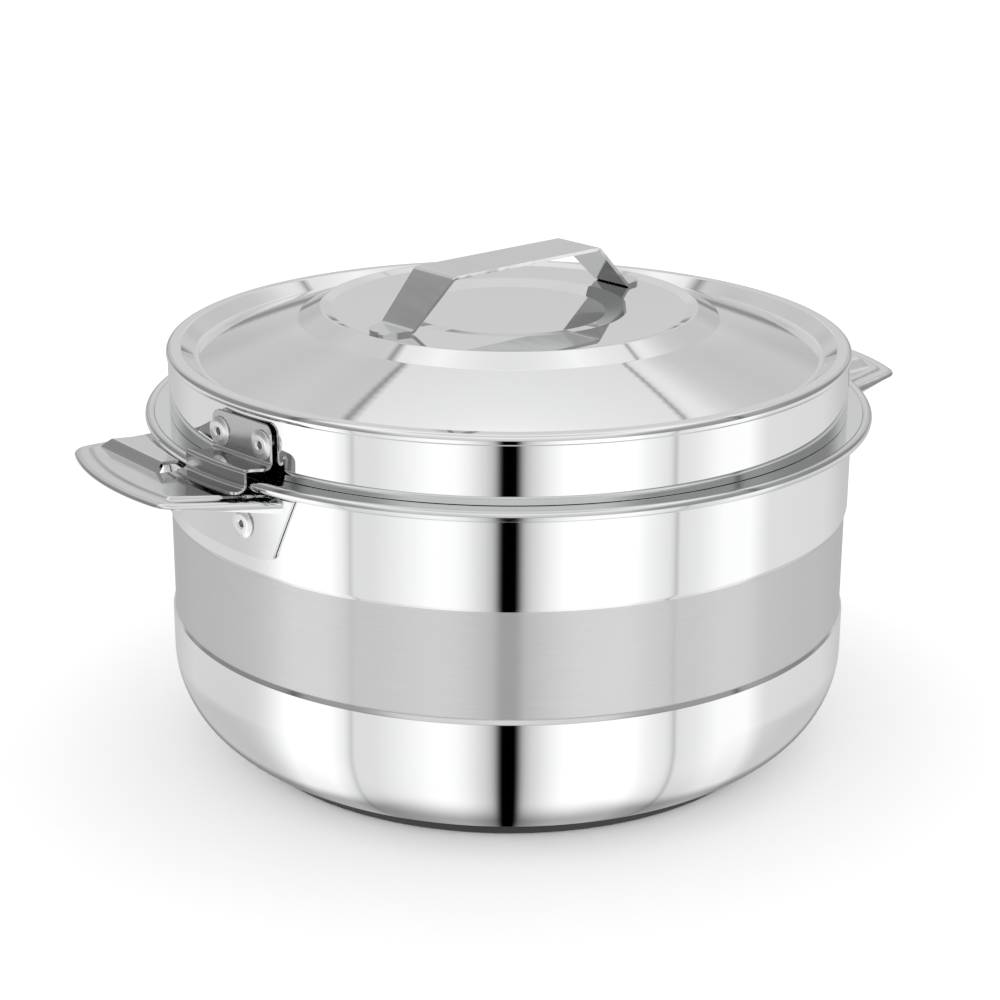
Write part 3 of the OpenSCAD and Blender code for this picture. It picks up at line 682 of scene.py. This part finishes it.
def latch_width(r, z):
    """How far the latch reaches to its leading and trailing side at a point of its path."""
    half = LATCH_W / 2 - corner_cut(z - (LATCH_TOP_Z - LATCH_CORNER_R), LATCH_CORNER_R)
    lead, trail = (r * math.sin(math.radians(a)) for a in (LEAD_A, TRAIL_A))
    blend = soft_step((r - FLARE_R) / FLARE_RUN, 0.35)
    cut = corner_cut(r - LIP_R, LIP_CORNER_R)
    return half + (lead - half) * blend - cut, half + (trail - half) * blend - cut


def make_latch(name, turn):
    """Riveted plate with the tongue that reaches over the rim and hooks under the louver."""
    rows = []
    for r, z, follow in latch_path():
        lead, trail = latch_width(r, z)
        rows.append([(r + (math.sqrt(r * r - y * y) - r) * follow, y, z)
                     for y in spread(-lead, trail, 28)])
    return sheet_piece(name, [strip(rows)], round_z(turn), LATCH_T)


def strap_path():
    """Half of the strap's top face: (distance from the middle, height)."""
    foot_z = STRAP_FOOT_Z + STRAP_T
    slope = math.atan2(STRAP_TOP_Z - foot_z, STRAP_LOW_X - STRAP_TOP_X)
    slope_a = math.degrees(slope)
    outer_r = STRAP_BEND_R + STRAP_T
    top = (STRAP_TOP_X - outer_r * math.tan(slope / 2), STRAP_TOP_Z - outer_r)
    low = (STRAP_LOW_X + STRAP_BEND_R * math.tan(slope / 2), foot_z + STRAP_BEND_R)
    path = [(x, STRAP_TOP_Z) for x in spread(0, top[0], 8)]
    path += arc_points(top, outer_r, 90, 90 - slope_a, 8)[1:]
    high = path[-1]
    leg = (low[0] - STRAP_BEND_R * math.sin(slope), low[1] - STRAP_BEND_R * math.cos(slope))
    path += [(high[0] + (leg[0] - high[0]) * t, high[1] + (leg[1] - high[1]) * t)
             for t in spread(0, 1, 8)[1:]]
    path += arc_points(low, STRAP_BEND_R, 270 - slope_a, 270, 8)[1:]
    path.append((STRAP_FOOT_X, foot_z))
    path += [(STRAP_FOOT_X + STRAP_FOOT_R * math.sin(a), foot_z)
             for a in spread(0, math.pi / 2, 12)[1:]]
    return path


def strap_half_width(x):
    """Even on top, narrower down the leg and on the flat, round at the foot."""
    knots = [(STRAP_TAPER_X, STRAP_TOP_HALF), (STRAP_LOW_X, STRAP_LOW_HALF),
             (STRAP_FOOT_X, STRAP_FOOT_R)]
    if x <= knots[0][0]:
        return STRAP_TOP_HALF
    for (x_a, half_a), (x_b, half_b) in zip(knots, knots[1:]):
        if x <= x_b:
            return half_a + (half_b - half_a) * (x - x_a) / (x_b - x_a)
    return math.sqrt(max(0, STRAP_FOOT_R ** 2 - (x - STRAP_FOOT_X) ** 2))


def make_strap():
    """The lid's strap handle: one bent strip with rounded feet."""
    half = strap_path()
    rows = []
    for x, z in [(-x, z) for x, z in half[:0:-1]] + half:
        half_w = strap_half_width(abs(x))
        rows.append([(x, y, z) for y in spread(-half_w, half_w, 12)])
    return sheet_piece("strap", [strip(rows)], round_z(UNLOCKED_A + STRAP_TURN), STRAP_T,
                       bevel=0.3)


# ---- nodes


class Value:
    """A node's output that takes part in sums as a number does."""

    def __init__(self, tree, socket):
        self.tree = tree
        self.socket = socket

    def maths(self, operation, *terms):
        settings = {"operation": operation}
        return self.tree.node("ShaderNodeMath", settings, dict(enumerate(terms)))[0]

    def __add__(self, other):
        return self.maths("ADD", self, other)

    def __sub__(self, other):
        return self.maths("SUBTRACT", self, other)

    def __rsub__(self, other):
        return self.maths("SUBTRACT", other, self)

    def __mul__(self, other):
        return self.maths("MULTIPLY", self, other)

    def __truediv__(self, other):
        return self.maths("DIVIDE", self, other)

    __radd__ = __add__
    __rmul__ = __mul__

    def size(self):
        return self.maths("ABSOLUTE", self)

    def within(self, low, high):
        """0 below low and 1 above high, with a soft change between."""
        settings = {"interpolation_type": "SMOOTHSTEP"}
        return self.tree.node("ShaderNodeMapRange", settings,
                              {"Value": self, "From Min": low, "From Max": high})[0]


class Made:
    """A node that was added; its outputs are taken by name, identifier or number."""

    def __init__(self, tree, node):
        self.tree = tree
        self.node = node

    def __getitem__(self, key):
        return Value(self.tree, find(self.node.outputs, key))


class Tree:
    """A node tree and the one method that adds a node to it."""

    def __init__(self, tree):
        self.tree = tree

    def node(self, kind, settings=None, sockets=None):
        made = self.tree.nodes.new(kind)
        for key, value in (settings or {}).items():
            if key == "stops":
                self.fill_ramp(made.color_ramp, value)
            else:
                setattr(made, key, value)
        for key, value in (sockets or {}).items():
            socket = find(made.inputs, key)
            if isinstance(value, Value):
                self.tree.links.new(value.socket, socket)
            else:
                socket.default_value = value
        return Made(self, made)

    @staticmethod
    def fill_ramp(ramp, stops):
        first, *others = sorted(stops)
        ramp.elements.remove(ramp.elements[1])
        ramp.elements[0].position = first[0]
        ramp.elements[0].color = (first[1], first[1], first[1], 1)
        for place, level in others:
            ramp.elements.new(place).color = (level, level, level, 1)

    def spot(self):
        """The place on the object, in metres."""
        return self.node("ShaderNodeTexCoord")["Object"]

    def stretched(self, vector, scale):
        return self.node("ShaderNodeVectorMath", {"operation": "MULTIPLY"},
                         {0: vector, 1: scale})[0]

    def radius(self):
        """Distance from the pot's axis, in metres."""
        flat = self.stretched(self.spot(), (1, 1, 0))
        return self.node("ShaderNodeVectorMath", {"operation": "LENGTH"}, {0: flat})["Value"]

    def noise(self, scale, detail=3.0, rough=0.5):
        """Noise on the object's place; scale is one number, or three for stretched noise."""
        place = self.spot()
        if isinstance(scale, tuple):
            place, scale = self.stretched(place, scale), 1
        return self.node("ShaderNodeTexNoise", {}, {
            "Vector": place, "Scale": scale, "Detail": detail, "Roughness": rough})[0]

    def rings(self, scale):
        """Fine rings round the pot's axis, as spinning leaves them on floor and wall."""
        height = self.node("ShaderNodeSeparateXYZ", {}, {0: self.spot()})["Z"]
        return self.node("ShaderNodeTexNoise", {"noise_dimensions": "1D"}, {
            "W": self.radius() + height, "Scale": scale, "Detail": 2.0})[0]

    def ramp(self, stops, place):
        """Grey levels that change with place, from 0 to 1."""
        return self.node("ShaderNodeValToRGB", {"stops": stops}, {0: place})["Color"]

    def blend(self, factor, first, second):
        """One colour going over into another."""
        return self.node("ShaderNodeMix", {"data_type": "RGBA"}, {
            "Factor_Float": factor, "A_Color": (*first, 1), "B_Color": (*second, 1),
        })["Result_Color"]

    def bump(self, height, strength, depth=0.0002):
        return self.node("ShaderNodeBump", {}, {
            "Height": height, "Strength": strength, "Distance": depth})["Normal"]


def find(sockets, key):
    if isinstance(key, int):
        return sockets[key]
    return next(s for s in sockets if key in (s.identifier, s.name))


def empty_tree(owner):
    """The cleared node tree of a new material or world."""
    owner.use_nodes = True
    owner.node_tree.nodes.clear()
    return Tree(owner.node_tree)


def finish(sockets_of, sheen_of=None, share=0.0):
    """A material named after the function that gives its shader's sockets. A second one
    may give a sheen that takes its share."""
    made = bpy.data.materials.new(sockets_of.__name__)
    tree = empty_tree(made)
    surface = tree.node("ShaderNodeBsdfPrincipled", {}, sockets_of(tree))["BSDF"]
    if sheen_of:
        sheen = tree.node("ShaderNodeBsdfPrincipled", {}, sheen_of(tree))["BSDF"]
        surface = tree.node("ShaderNodeMixShader", {}, {0: share, 1: surface, 2: sheen})[0]
    tree.node("ShaderNodeOutputMaterial", {}, {"Surface": surface})
    return made


# ---- finishes


def metal(colour, roughness, normal=None):
    """The shader's sockets for bare metal."""
    sockets = {"Base Color": colour, "Metallic": 1.0, "Roughness": roughness}
    if normal:
        sockets["Normal"] = normal
    return sockets


def polished_steel(tree):
    smudge = tree.noise(22, 4)
    lines = tree.noise((30, 30, 2200), 2)
    colour = tree.blend(smudge, (0.84, 0.845, 0.85), (0.87, 0.87, 0.87))
    return metal(colour, 0.015 + 0.03 * smudge * lines)


def satin_grain(tree):
    """Fine lines round the wall."""
    return tree.noise((60, 60, 5200), 3)


def satin_steel(tree):
    grain = satin_grain(tree)
    cloud = tree.noise(35, 3)
    colour = tree.blend(grain, (0.54, 0.54, 0.545), (0.66, 0.66, 0.665))
    return metal(colour, 0.46 + 0.08 * grain + 0.04 * cloud, tree.bump(grain, 0.12))


def satin_sheen(tree):
    grain = satin_grain(tree)
    colour = tree.blend(grain, (0.80, 0.80, 0.805), (0.9, 0.9, 0.9))
    return metal(colour, 0.03 + 0.04 * grain)


def pan_steel(tree):
    """Brushed inside, and polished from the mouth outwards."""
    rings = tree.rings(2600)
    cloud = tree.noise(18, 3)
    rim = tree.radius().within((PAN_R + 0.5) * MM, (PAN_R + 3.5) * MM)
    satin = 0.2 + 0.1 * rings + 0.05 * cloud
    colour = tree.blend(rim, (0.90, 0.905, 0.91), (0.78, 0.785, 0.79))
    return metal(colour, satin * (1 - rim) + (0.05 + 0.04 * cloud) * rim,
                 tree.bump(rings, 0.05))


def handle_steel(tree):
    wave = tree.noise((70, 18, 70), 2)
    haze = tree.noise(60, 4)
    colour = tree.blend(haze, (0.72, 0.725, 0.73), (0.80, 0.80, 0.805))
    return metal(colour, 0.08 + 0.07 * haze, tree.bump(wave, 0.22, 0.0012))


def latch_steel(tree):
    wave = tree.noise((50, 50, 25), 2)
    haze = tree.noise(60, 4)
    colour = tree.blend(haze, (0.52, 0.525, 0.53), (0.62, 0.62, 0.625))
    return metal(colour, 0.1 + 0.08 * haze, tree.bump(wave, 0.3, 0.0012))


def plain_steel(tree):
    mill = tree.noise((40, 900, 40), 3)
    cloud = tree.noise(40, 3)
    colour = tree.blend(cloud, (0.55, 0.56, 0.57), (0.68, 0.68, 0.69))
    return metal(colour, 0.3 + 0.15 * mill, tree.bump(mill, 0.15))


def rivet_aluminium(tree):
    haze = tree.noise(400, 3)
    colour = tree.blend(haze, (0.86, 0.86, 0.865), (0.94, 0.94, 0.94))
    return metal(colour, 0.24 + 0.12 * haze, tree.bump(haze, 0.15))


def pin_steel(tree):
    scale = tree.noise(900, 4)
    colour = tree.blend(scale, (0.10, 0.095, 0.09), (0.32, 0.31, 0.30))
    return metal(colour, 0.4 + 0.2 * scale, tree.bump(scale, 0.5))


def seal_rubber(tree):
    cloud = tree.noise(90, 4)
    return {
        "Base Color": tree.blend(cloud, (0.80, 0.80, 0.78), (0.88, 0.88, 0.86)),
        "Roughness": 0.45 + 0.15 * cloud,
        "Subsurface Weight": 0.1,
        "Normal": tree.bump(cloud, 0.1),
    }


def dark_plastic(tree):
    grain = tree.noise(1500, 3)
    cloud = tree.noise(30, 3)
    return {
        "Base Color": tree.blend(cloud, (0.022, 0.022, 0.024), (0.034, 0.034, 0.036)),
        "Roughness": 0.42 + 0.15 * grain,
        "Normal": tree.bump(grain, 0.25),
    }


def foam(tree):
    cells = tree.noise(700, 4, 0.7)
    return {
        "Base Color": tree.blend(cells, (0.72, 0.66, 0.50), (0.86, 0.82, 0.68)),
        "Roughness": 0.9 + 0.05 * cells,
        "Normal": tree.bump(cells, 0.6, 0.0006),
    }


# ---- rivets and their pins


def four_of_a_kind():
    """Node tree: the source on both sides of the axis, two on each side, either fanned out
    by an angle or set apart by a spacing."""
    made = bpy.data.node_groups.new("two_pairs", "GeometryNodeTree")
    kinds = {"Source": "Object", "Turn": "Float", "Fan": "Float", "Spacing": "Float",
             "Reach": "Float", "Height": "Float", "Finish": "Material"}
    for name, kind in kinds.items():
        made.interface.new_socket(name, in_out="INPUT", socket_type="NodeSocket" + kind)
    made.interface.new_socket("Geometry", in_out="OUTPUT", socket_type="NodeSocketGeometry")
    tree = Tree(made)
    given = tree.node("NodeGroupInput")
    index = tree.node("GeometryNodeInputIndex")[0]
    side = index.maths("FLOOR", index / 2)
    pair = 2 * (index - 2 * side) - 1
    angle = given["Turn"] + math.pi * side + pair * given["Fan"]
    cosine, sine = angle.maths("COSINE", angle), angle.maths("SINE", angle)
    apart = pair * given["Spacing"] / 2
    place = tree.node("ShaderNodeCombineXYZ", {}, {
        "X": given["Reach"] * cosine - apart * sine,
        "Y": given["Reach"] * sine + apart * cosine,
        "Z": given["Height"],
    })[0]
    points = tree.node("GeometryNodePoints", {}, {"Count": 4, "Position": place})[0]
    source = tree.node("GeometryNodeObjectInfo", {}, {"Object": given["Source"]})
    turn = tree.node("ShaderNodeCombineXYZ", {}, {"Z": angle})[0]
    copies = tree.node("GeometryNodeInstanceOnPoints", {}, {
        "Points": points, "Instance": source["Geometry"], "Rotation": turn})[0]
    solid = tree.node("GeometryNodeRealizeInstances", {}, {0: copies})[0]
    painted = tree.node("GeometryNodeSetMaterial", {}, {
        "Geometry": solid, "Material": given["Finish"]})[0]
    tree.node("NodeGroupOutput", {}, {"Geometry": painted})
    return made


def make_rivet(grip):
    """Drawn rivet along +X from its seat: domed flange, shank, set head and bore."""
    rivet = turned("rivet_source", [
        (BORE_R, -grip - HEAD_H), (HEAD_R, -grip - HEAD_H, 0.6), (HEAD_R, -grip, 0.6),
        (SHANK_R, -grip), (SHANK_R, 0), (DOME_R, 0), (DOME_R, DOME_EDGE_H, 0.25),
        (3.3, DOME_H - 0.08, 2.5), (BORE_R + BORE_CHAMFER, DOME_H, 0.12),
        (BORE_R, DOME_H - BORE_CHAMFER),
    ], closed=True, steps=40)
    rivet.data.transform(Matrix.Rotation(math.pi / 2, 4, "Y"))
    return rivet


def make_pin(grip):
    """Broken pin along +X that stays in the rivet, with its head at the back."""
    low, neck = -grip - PIN_TAIL, PIN_HEAD_H - grip - PIN_TAIL
    pin = turned("pin_source", [
        (0, low), (PIN_HEAD_R, low, 0.6), (PIN_HEAD_R, neck), (PIN_R, neck),
        (PIN_R, PIN_STUB - 0.3), (PIN_R - 0.15, PIN_STUB), (0.5, PIN_STUB - 0.1),
        (0, PIN_STUB / 2),
    ], steps=24)
    pin.data.transform(Matrix.Rotation(math.pi / 2, 4, "Y"))
    return pin


def two_pairs(name, tree, source, sizes, finish_of):
    """The source repeated by the tree, as one plain mesh."""
    piece = new_piece(name, bpy.data.meshes.new(name))
    repeat = piece.modifiers.new("repeat", "NODES")
    repeat.node_group = tree
    values = {"Source": source, "Finish": finish_of, **sizes}
    for item in tree.interface.items_tree:
        if item.in_out == "INPUT":
            repeat[item.identifier] = values[item.name]
    settle(piece)
    bpy.data.objects.remove(source)
    smooth_by_angle(piece.data, RIVET_SMOOTH_A)
    return piece


# ---- putting it together


finishes = {shader.__name__: finish(shader) for shader in (
    polished_steel, pan_steel, handle_steel, latch_steel, plain_steel, rivet_aluminium,
    pin_steel, seal_rubber, dark_plastic, foam)}
finishes["satin_steel"] = finish(satin_steel, satin_sheen, share=0.24)


def fit(piece, body, slot, *nodes, looks=None):
    """Gives a finished piece its finishes and its body, and hides the CAD nodes it stands for.
    """
    if piece.data.materials:
        piece.data.materials.clear()
    for name in looks or [slot]:
        piece.data.materials.append(finishes[name])
    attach(piece, body)
    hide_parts(*nodes)


def refinish(node, slot):
    """A CAD node that stays gets its better finish."""
    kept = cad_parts[node]
    if not kept.material_slots:
        kept.data.materials.append(None)
    for place in kept.material_slots:
        place.link = "OBJECT"
        place.material = finishes[slot]


fit(make_wall(), "pot", "polished_steel", "outer_shell",
    looks=["polished_steel", "satin_steel"])
fit(make_pan(), "pot", "pan_steel", "inner_pan")
foot_ring, base_disc, plug = make_base()
fit(foot_ring, "pot", "dark_plastic", "base_ring")
fit(base_disc, "pot", "plain_steel", "base_plate")
fit(plug, "pot", "dark_plastic", "fill_plug")
for hand, half_turn in HANDS:
    fit(make_handle("wing_" + hand, half_turn), "pot", "handle_steel", hand + "_handle")

fit(make_seal(), "gasket", "seal", "lid_gasket", looks=["seal_rubber"])

fit(make_lid_top(), "lid", "polished_steel", "lid_outer_shell")
fit(make_lid_plug(), "lid", "pan_steel", "lid_inner_shell")
fit(make_strap(), "lid", "handle_steel", "lid_handle")
for hand, half_turn in HANDS:
    fit(make_latch("latch_" + hand, UNLOCKED_A + half_turn), "lid", "handle_steel",
        hand + "_latch", looks=["latch_steel"])

pairs = four_of_a_kind()
HANDLE_PAIRS = {"Turn": 0.0, "Fan": math.radians(HANDLE_FAN_A), "Spacing": 0.0,
                "Reach": HANDLE_SEAT_R * MM, "Height": (WING_Z - HANDLE_RIVET_DROP) * MM}
LATCH_PAIRS = {"Turn": math.radians(UNLOCKED_A), "Fan": 0.0,
               "Spacing": LATCH_RIVET_GAP * MM, "Reach": LATCH_SEAT_R * MM,
               "Height": (HEM_Z + LATCH_RIVET_H) * MM}
for place, body, node, grip, sizes in (
        ("wing", "pot", "handle", HANDLE_GRIP, HANDLE_PAIRS),
        ("lid", "lid", "latch", LATCH_GRIP, LATCH_PAIRS)):
    for kind, source, slot in (("_rivets", make_rivet(grip), "rivet_aluminium"),
                               ("_rivet_pins", make_pin(grip), "pin_steel")):
        piece = two_pairs(place + kind, pairs, source, sizes, finishes[slot])
        fit(piece, body, slot, node + kind)

for insulation in ("pot_insulation", "lid_insulation"):
    refinish(insulation, "foam")
for backing in ("handle_backing", "latch_backing"):
    refinish(backing, "plain_steel")


# ---- studio

# the front is the way from the pot to the camera, and the slot lies just right of it
FRONT_A, VIEW_RISE, SLOT_A = -122.5, 19.0, 0.5
# light on plain surfaces, the studio's white, and how much of it polished steel gives back
LEVEL, WHITE, STEEL = 1.2, 1.25, 0.86
# brightness, as polished steel shows it, of the studio's walls round the pot:
# (degrees from the front, positive to the right, level of 255)
WALLS = [
    (-180, 182), (-150, 194), (-130, 212), (-97, 212), (-91, 217), (-86, 230), (-76, 255),
    (-61, 255), (-57, 246), (-53.6, 232), (-52.9, 188), (-52.3, 188), (-51.6, 220),
    (-44, 222), (-35, 238), (-26, 253), (-15, 255), (15, 255), (40, 255), (46, 244),
    (54.6, 225), (55.6, 192), (56.6, 192), (57.6, 222), (65, 232), (74, 252), (86, 254),
    (91, 236), (95, 222), (130, 215), (150, 194), (180, 178),
]
# the dark slot between the two front lamps: (half width in degrees, level of 255)
SLOT = [(0, 0), (2.0, 2), (2.7, 60), (3.3, 103), (4.4, 156), (5.5, 182), (7.6, 203),
        (10.9, 221), (13.1, 232), (17.5, 247), (23, 255)]
# the ceiling: (height in degrees, level of 255)
CEILING = [(0, 195), (13, 197), (19, 209), (30, 207), (37, 213), (42, 219), (50, 225),
           (57, 232), (63, 245), (69, 228), (75, 207), (90, 205)]
# the share of the ceiling's light that is left: (degrees from the front, share), with a dark
# beam on either hand
BEAMS = [(-180, 0.86), (-110, 0.86), (-92, 0.78), (-78, 0.78), (-76.5, 0.6), (-74.2, 0.36),
         (-71.9, 0.7), (-69, 1.0), (79, 1.0), (81.5, 0.46), (84, 1.0), (88, 1.1), (93, 1.08),
         (100, 0.96), (110, 0.86), (180, 0.86)]
# where one light goes over into the next, by parts of the direction seen
BEAMS_FROM = (0.03, 0.09)
CEILING_SIDES, SIDES_LOSS = (0.46, 0.72), 0.5
CEILING_FROM = (-0.02, 0.12)
# the floor under and behind the pot, which steel that faces down shows, darkest in the middle
FLOOR_MIDDLE, FLOOR_BEHIND, FLOOR_DOWN = (0.25, 0.43), (-0.3, 0.5), (0.36, 0.5)
FLOOR_LOSS, MIDDLE_LOSS = 0.22, 0.42
# a darker line where the walls meet the ceiling
LINE_UP, LINE_WIDTH, LINE_LOSS = 0.02, (0.01, 0.07), 0.45

CAMERA_AT = (-421.78, -662.06, 352.9)
CAMERA_TURN, CAMERA_TILT, CAMERA_ROLL = -32.29, 71.14, 0.26
FOCAL_LENGTH, SENSOR_W = 82.55, 36.0
GROUND_HALF, GROUND_Z = 2500.0, -0.05


def linear(level):
    """Light for a display level of 255."""
    part = level / 255
    return part / 12.92 if part <= 0.04045 else ((part + 0.055) / 1.055) ** 2.4


def lamp(level):
    """A ramp's stop so that polished steel shows the level."""
    return 1.0 if level >= 255 else linear(level) / STEEL / WHITE


def room(tree):
    """What polished metal sees: soft walls with a slot, a floor, and a ceiling with beams."""
    way = tree.node("ShaderNodeTexCoord")["Generated"]
    split = tree.node("ShaderNodeSeparateXYZ", {}, {0: way})
    east, north, up = split["X"], split["Y"], split["Z"]
    front_x, front_y = math.cos(math.radians(FRONT_A)), math.sin(math.radians(FRONT_A))
    ahead = east * front_x + north * front_y
    front = ahead + math.cos(math.radians(VIEW_RISE))
    side = north * front_x - east * front_y
    turn = side.maths("ARCTAN2", side, front) / math.pi + 0.5
    walls = tree.ramp([(0.5 + a / 360, lamp(level)) for a, level in WALLS], turn)
    slot_half = SLOT[-1][0]
    reach = (turn - 0.5 - SLOT_A / 360).size() * 360 / slot_half
    slot = tree.ramp([(a / slot_half, linear(level)) for a, level in SLOT], reach)
    height = up.maths("ARCSINE", up) / (math.pi / 2)
    ceiling = tree.ramp([(a / 90, lamp(level)) for a, level in CEILING], height)
    beams = tree.ramp([(0.5 + a / 360, share) for a, share in BEAMS], turn)
    aside = (front * front + side * side).within(*BEAMS_FROM)
    ceiling = ceiling * (1 - (1 - beams) * aside)
    ceiling = ceiling * (1 - SIDES_LOSS * side.size().within(*CEILING_SIDES))
    upper = up.within(*CEILING_FROM)
    middle = 1 - side.size().within(*FLOOR_MIDDLE)
    behind = (-1 * ahead).within(*FLOOR_BEHIND) * (-1 * up).within(*FLOOR_DOWN)
    shade = 1 - (FLOOR_LOSS + MIDDLE_LOSS * middle) * behind
    line = 1 - LINE_LOSS * (1 - (up - LINE_UP).size().within(*LINE_WIDTH))
    return (walls * slot * shade * (1 - upper) + ceiling * upper) * line * WHITE


def make_studio():
    """White to the camera, the room to polished metal and plain level light to the rest."""
    world = bpy.data.worlds.new("studio")
    bpy.context.scene.world = world
    world.cycles.sampling_method = "NONE"
    tree = empty_tree(world)
    path = tree.node("ShaderNodeLightPath")
    camera, glossy = path["Is Camera Ray"], path["Is Glossy Ray"]
    level = camera + (1 - camera) * (glossy * room(tree) + (1 - glossy) * LEVEL)
    light = tree.node("ShaderNodeBackground", {}, {"Color": (1, 1, 1, 1), "Strength": level})
    tree.node("ShaderNodeOutputWorld", {}, {"Surface": light[0]})


def make_floor():
    """Pale floor that keeps the pot's soft shadow and lets the view from below through."""
    corners = [Vector((x * GROUND_HALF, y * GROUND_HALF, GROUND_Z)) * MM
               for x, y in ((-1, -1), (1, -1), (1, 1), (-1, 1))]
    mesh = bpy.data.meshes.new("floor")
    mesh.from_pydata(corners, [], [(0, 1, 2, 3)])
    floor = new_piece("floor", mesh)
    floor.visible_glossy = False
    floor.visible_shadow = False
    made = bpy.data.materials.new("pale_floor")
    tree = empty_tree(made)
    cloud = tree.noise(6, 2)
    pale = tree.node("ShaderNodeBsdfDiffuse", {}, {
        "Color": tree.blend(cloud, (0.97, 0.97, 0.97), (0.98, 0.98, 0.98))})[0]
    clear = tree.node("ShaderNodeBsdfTransparent")[0]
    behind = tree.node("ShaderNodeNewGeometry")["Backfacing"]
    mixed = tree.node("ShaderNodeMixShader", {}, {0: behind, 1: pale, 2: clear})[0]
    tree.node("ShaderNodeOutputMaterial", {}, {"Surface": mixed})
    mesh.materials.append(made)


def make_camera():
    """The photograph's view: a little above the rim, from the front left."""
    lens = bpy.data.cameras.new("camera")
    lens.lens = FOCAL_LENGTH
    lens.sensor_width = SENSOR_W
    camera = bpy.data.objects.new("camera", lens)
    tilt = Matrix.Rotation(math.radians(CAMERA_TILT), 4, "X")
    aim = round_z(CAMERA_TURN) @ tilt @ round_z(CAMERA_ROLL)
    camera.matrix_world = Matrix.Translation(Vector(CAMERA_AT) * MM) @ aim
    bpy.context.scene.collection.objects.link(camera)
    bpy.context.scene.camera = camera


make_studio()
make_floor()
make_camera()
bpy.context.scene.view_settings.view_transform = "Standard"
